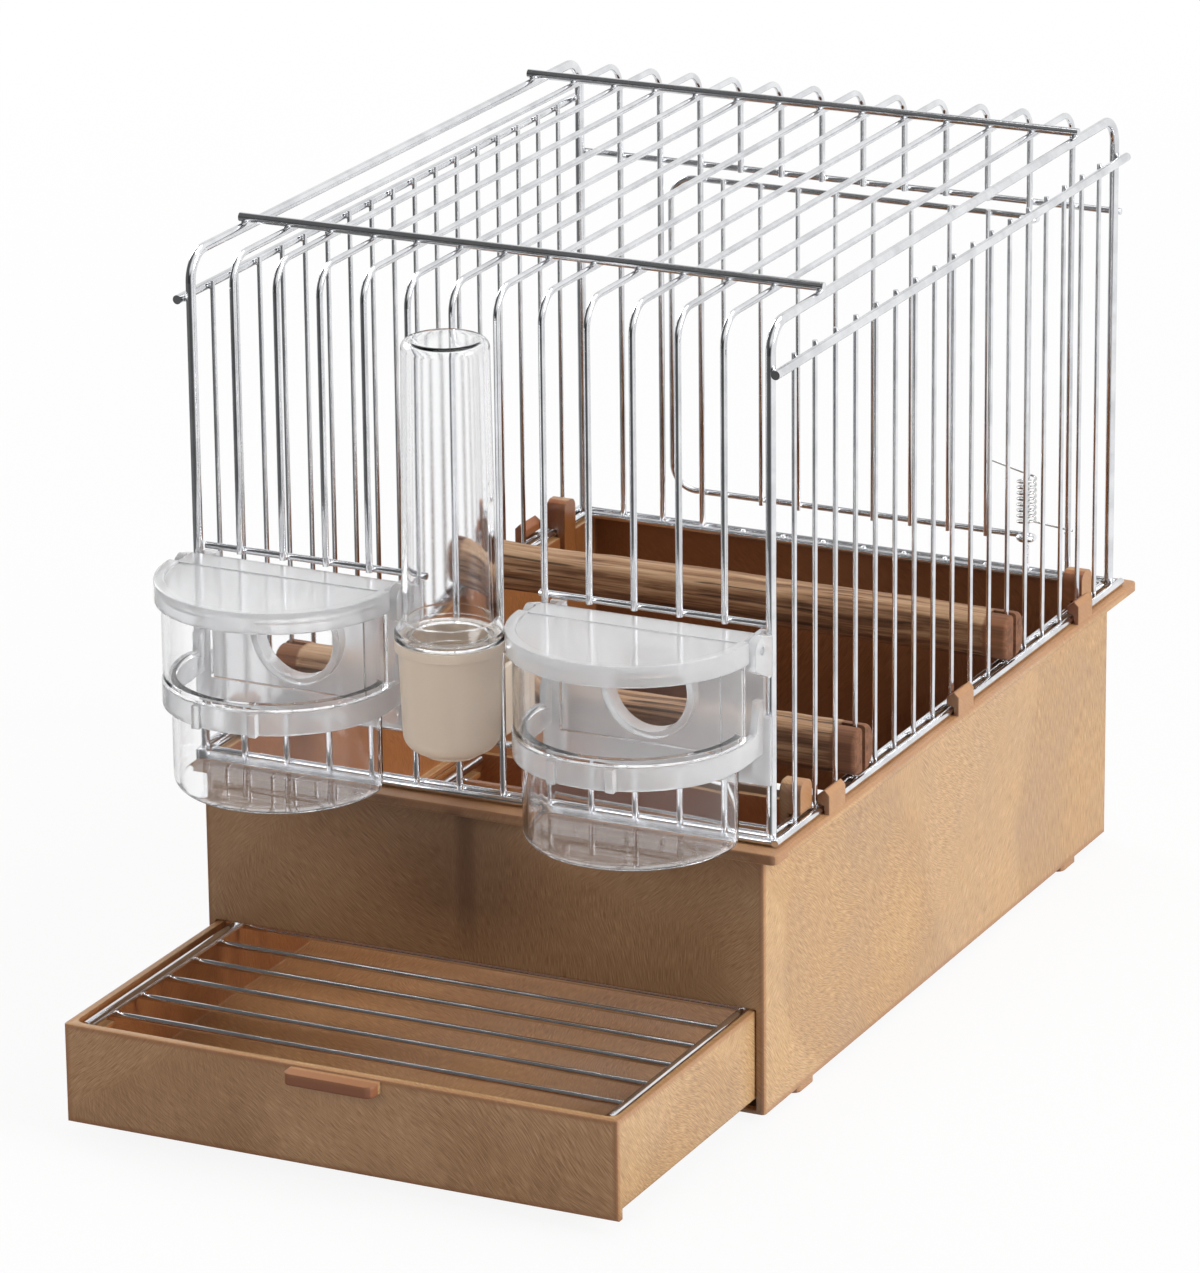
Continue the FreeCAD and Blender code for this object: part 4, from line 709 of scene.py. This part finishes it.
# %% One weld bead
BEAD_RADIUS = 0.00098
BEAD_ROUGH = 0.00016

bpy.ops.object.select_all(action="DESELECT")
bpy.ops.mesh.primitive_uv_sphere_add(segments=8, ring_count=6, radius=BEAD_RADIUS)
bead = bpy.context.object
bead.name = "bead"
bpy.ops.object.mode_set(mode="EDIT")
bpy.ops.mesh.select_all(action="SELECT")
bpy.ops.transform.vertex_random(offset=BEAD_ROUGH, seed=4)
bpy.ops.object.mode_set(mode="OBJECT")
bpy.ops.object.shade_smooth()
print(len(bead.data.polygons), "faces in a bead")


def beads(name, body, places):
    copies = []
    for spot in places:
        copy = bead.copy()
        copy.data = bead.data.copy()
        copy.location = spot
        bpy.context.collection.objects.link(copy)
        copies.append(copy)
    bpy.ops.object.select_all(action="DESELECT")
    for copy in copies:
        copy.select_set(True)
    bpy.context.view_layer.objects.active = copies[0]
    bpy.ops.object.join()
    piece = bpy.context.object
    piece.name = name
    bpy.ops.object.transform_apply(location=True, rotation=True, scale=True)
    piece.data.materials.clear()
    piece.data.materials.append(wire_finish)
    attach(piece, body)
    print(f"{name}: {len(places)} beads")


def spread(low, high, count):
    return [low + (high - low) * step / (count - 1) for step in range(count)]


# %% Weld beads of the cage
HOOPS, HOOP_REACH = 14, 0.08775
SIDE_WIRES, SIDE_FIRST, SIDE_LAST = 17, -0.06559, 0.15049
HOOP_FRONT, HOOP_BACK, BOTTOM = -0.07955, 0.16445, 0.08215
RAIL_ASIDE = 0.00102
CROSS_BAR_Y, CROSS_BAR_Z = (-0.04755, 0.13245), 0.22797
BACK_RAIL = (0.16542, 0.1973)
FRONT_RAIL_Y, LOWER_RAIL_Z, FEEDER_RAIL_Z = -0.07857, 0.0970, 0.1425
DRINKER_HALF = 0.018
TOP_RAIL_X, TOP_RAIL_Z = 0.08918, 0.2140
SIDE_FOOT_X = 0.08765

hoop_x = spread(-HOOP_REACH, HOOP_REACH, HOOPS)
side_y = spread(SIDE_FIRST, SIDE_LAST, SIDE_WIRES)
crossings = []
for x in hoop_x:
    crossings += [(x, y, CROSS_BAR_Z) for y in CROSS_BAR_Y]
    crossings.append((x, *BACK_RAIL))
    for y in (HOOP_BACK - RAIL_ASIDE, HOOP_BACK + RAIL_ASIDE, HOOP_FRONT + RAIL_ASIDE):
        crossings.append((x, y, BOTTOM))
for x in hoop_x[1:-1]:
    crossings.append((x, FRONT_RAIL_Y, LOWER_RAIL_Z))
    if abs(x) > DRINKER_HALF:
        crossings.append((x, FRONT_RAIL_Y, FEEDER_RAIL_Z))
for y in [HOOP_FRONT, *side_y, HOOP_BACK]:
    crossings += [(end * TOP_RAIL_X, y, TOP_RAIL_Z) for end in (-1, 1)]
for y in side_y:
    crossings += [(end * SIDE_FOOT_X, y, BOTTOM) for end in (-1, 1)]
beads("cage_welds", "cage", crossings)

# %% Weld beads of the drawer's grille and of the door
GRILLE_WIRES, GRILLE_FIRST, GRILLE_LAST = 16, -0.16235, 0.06115
GRILLE_RAIL_X, GRILLE_Z = 0.0793, 0.02918
DOOR_BARS, DOOR_FIRST, DOOR_LAST = 8, -0.03997, 0.04725
DOOR_Y, DOOR_RAILS_Z = 0.16567, (0.09305, 0.19245)

grille_y = spread(GRILLE_FIRST, GRILLE_LAST, GRILLE_WIRES)
grille = [(end * GRILLE_RAIL_X, y, GRILLE_Z) for y in grille_y for end in (-1, 1)]
beads("grille_welds", "drawer", grille)
door_x = spread(DOOR_FIRST, DOOR_LAST, DOOR_BARS)
door = [(x, DOOR_Y, z) for x in door_x for z in DOOR_RAILS_Z]
beads("door_welds", "door", door)
bpy.data.objects.remove(bead)

# %% [markdown]
# The feeders are two plastics: the bowls clear as glass, the holders and lids milky. Both pass
# light, and their walls are modelled with thickness, so the shader only has to say how rough the
# surface is and how much of the light is scattered on the way. The drinker's cup is a third one,
# beige, which lets no light through but scatters it under the surface.

# %% Clear, milky and beige plastic
def moulded(name, colour, through, rough, cloudy=0.0, bends=1.5, gloss=0.0):
    finish, shader = new_finish(
        name, Base_Color=(*colour, 1), IOR=bends, Transmission_Weight=through,
        Subsurface_Weight=cloudy, Subsurface_Scale=0.004, Subsurface_Radius=(1, 1, 1),
        Coat_Weight=gloss, Coat_Roughness=0.1,
    )
    tree = finish.node_tree
    cloud = noise(tree, place_on_object(tree), 120.0, 3.0, 0.6)[0]
    shine = remap(tree, cloud, 0.3, 0.7, rough, rough * 1.6)
    rounded = add(tree, "ShaderNodeBevel", {"Radius": 0.0005}, samples=4).outputs[0]
    feed(shader, Roughness=shine, Normal=rounded)
    return finish


sides = ("left", "right")
wear(
    moulded("clear_plastic", (0.99, 0.99, 0.995), 1.0, 0.012, bends=1.28),
    *[f"feeder_bowl_{side}" for side in sides], "drinker_tube",
)
wear(
    moulded("milky_plastic", (0.975, 0.985, 1.0), 0.68, 0.145, cloudy=1.0, bends=1.2, gloss=0.7),
    *[f"feeder_{piece}_{side}" for piece in ("holder", "lid") for side in sides],
)
wear(moulded("beige_plastic", (0.74, 0.615, 0.50), 0.0, 0.34, cloudy=0.6), "drinker_cup")
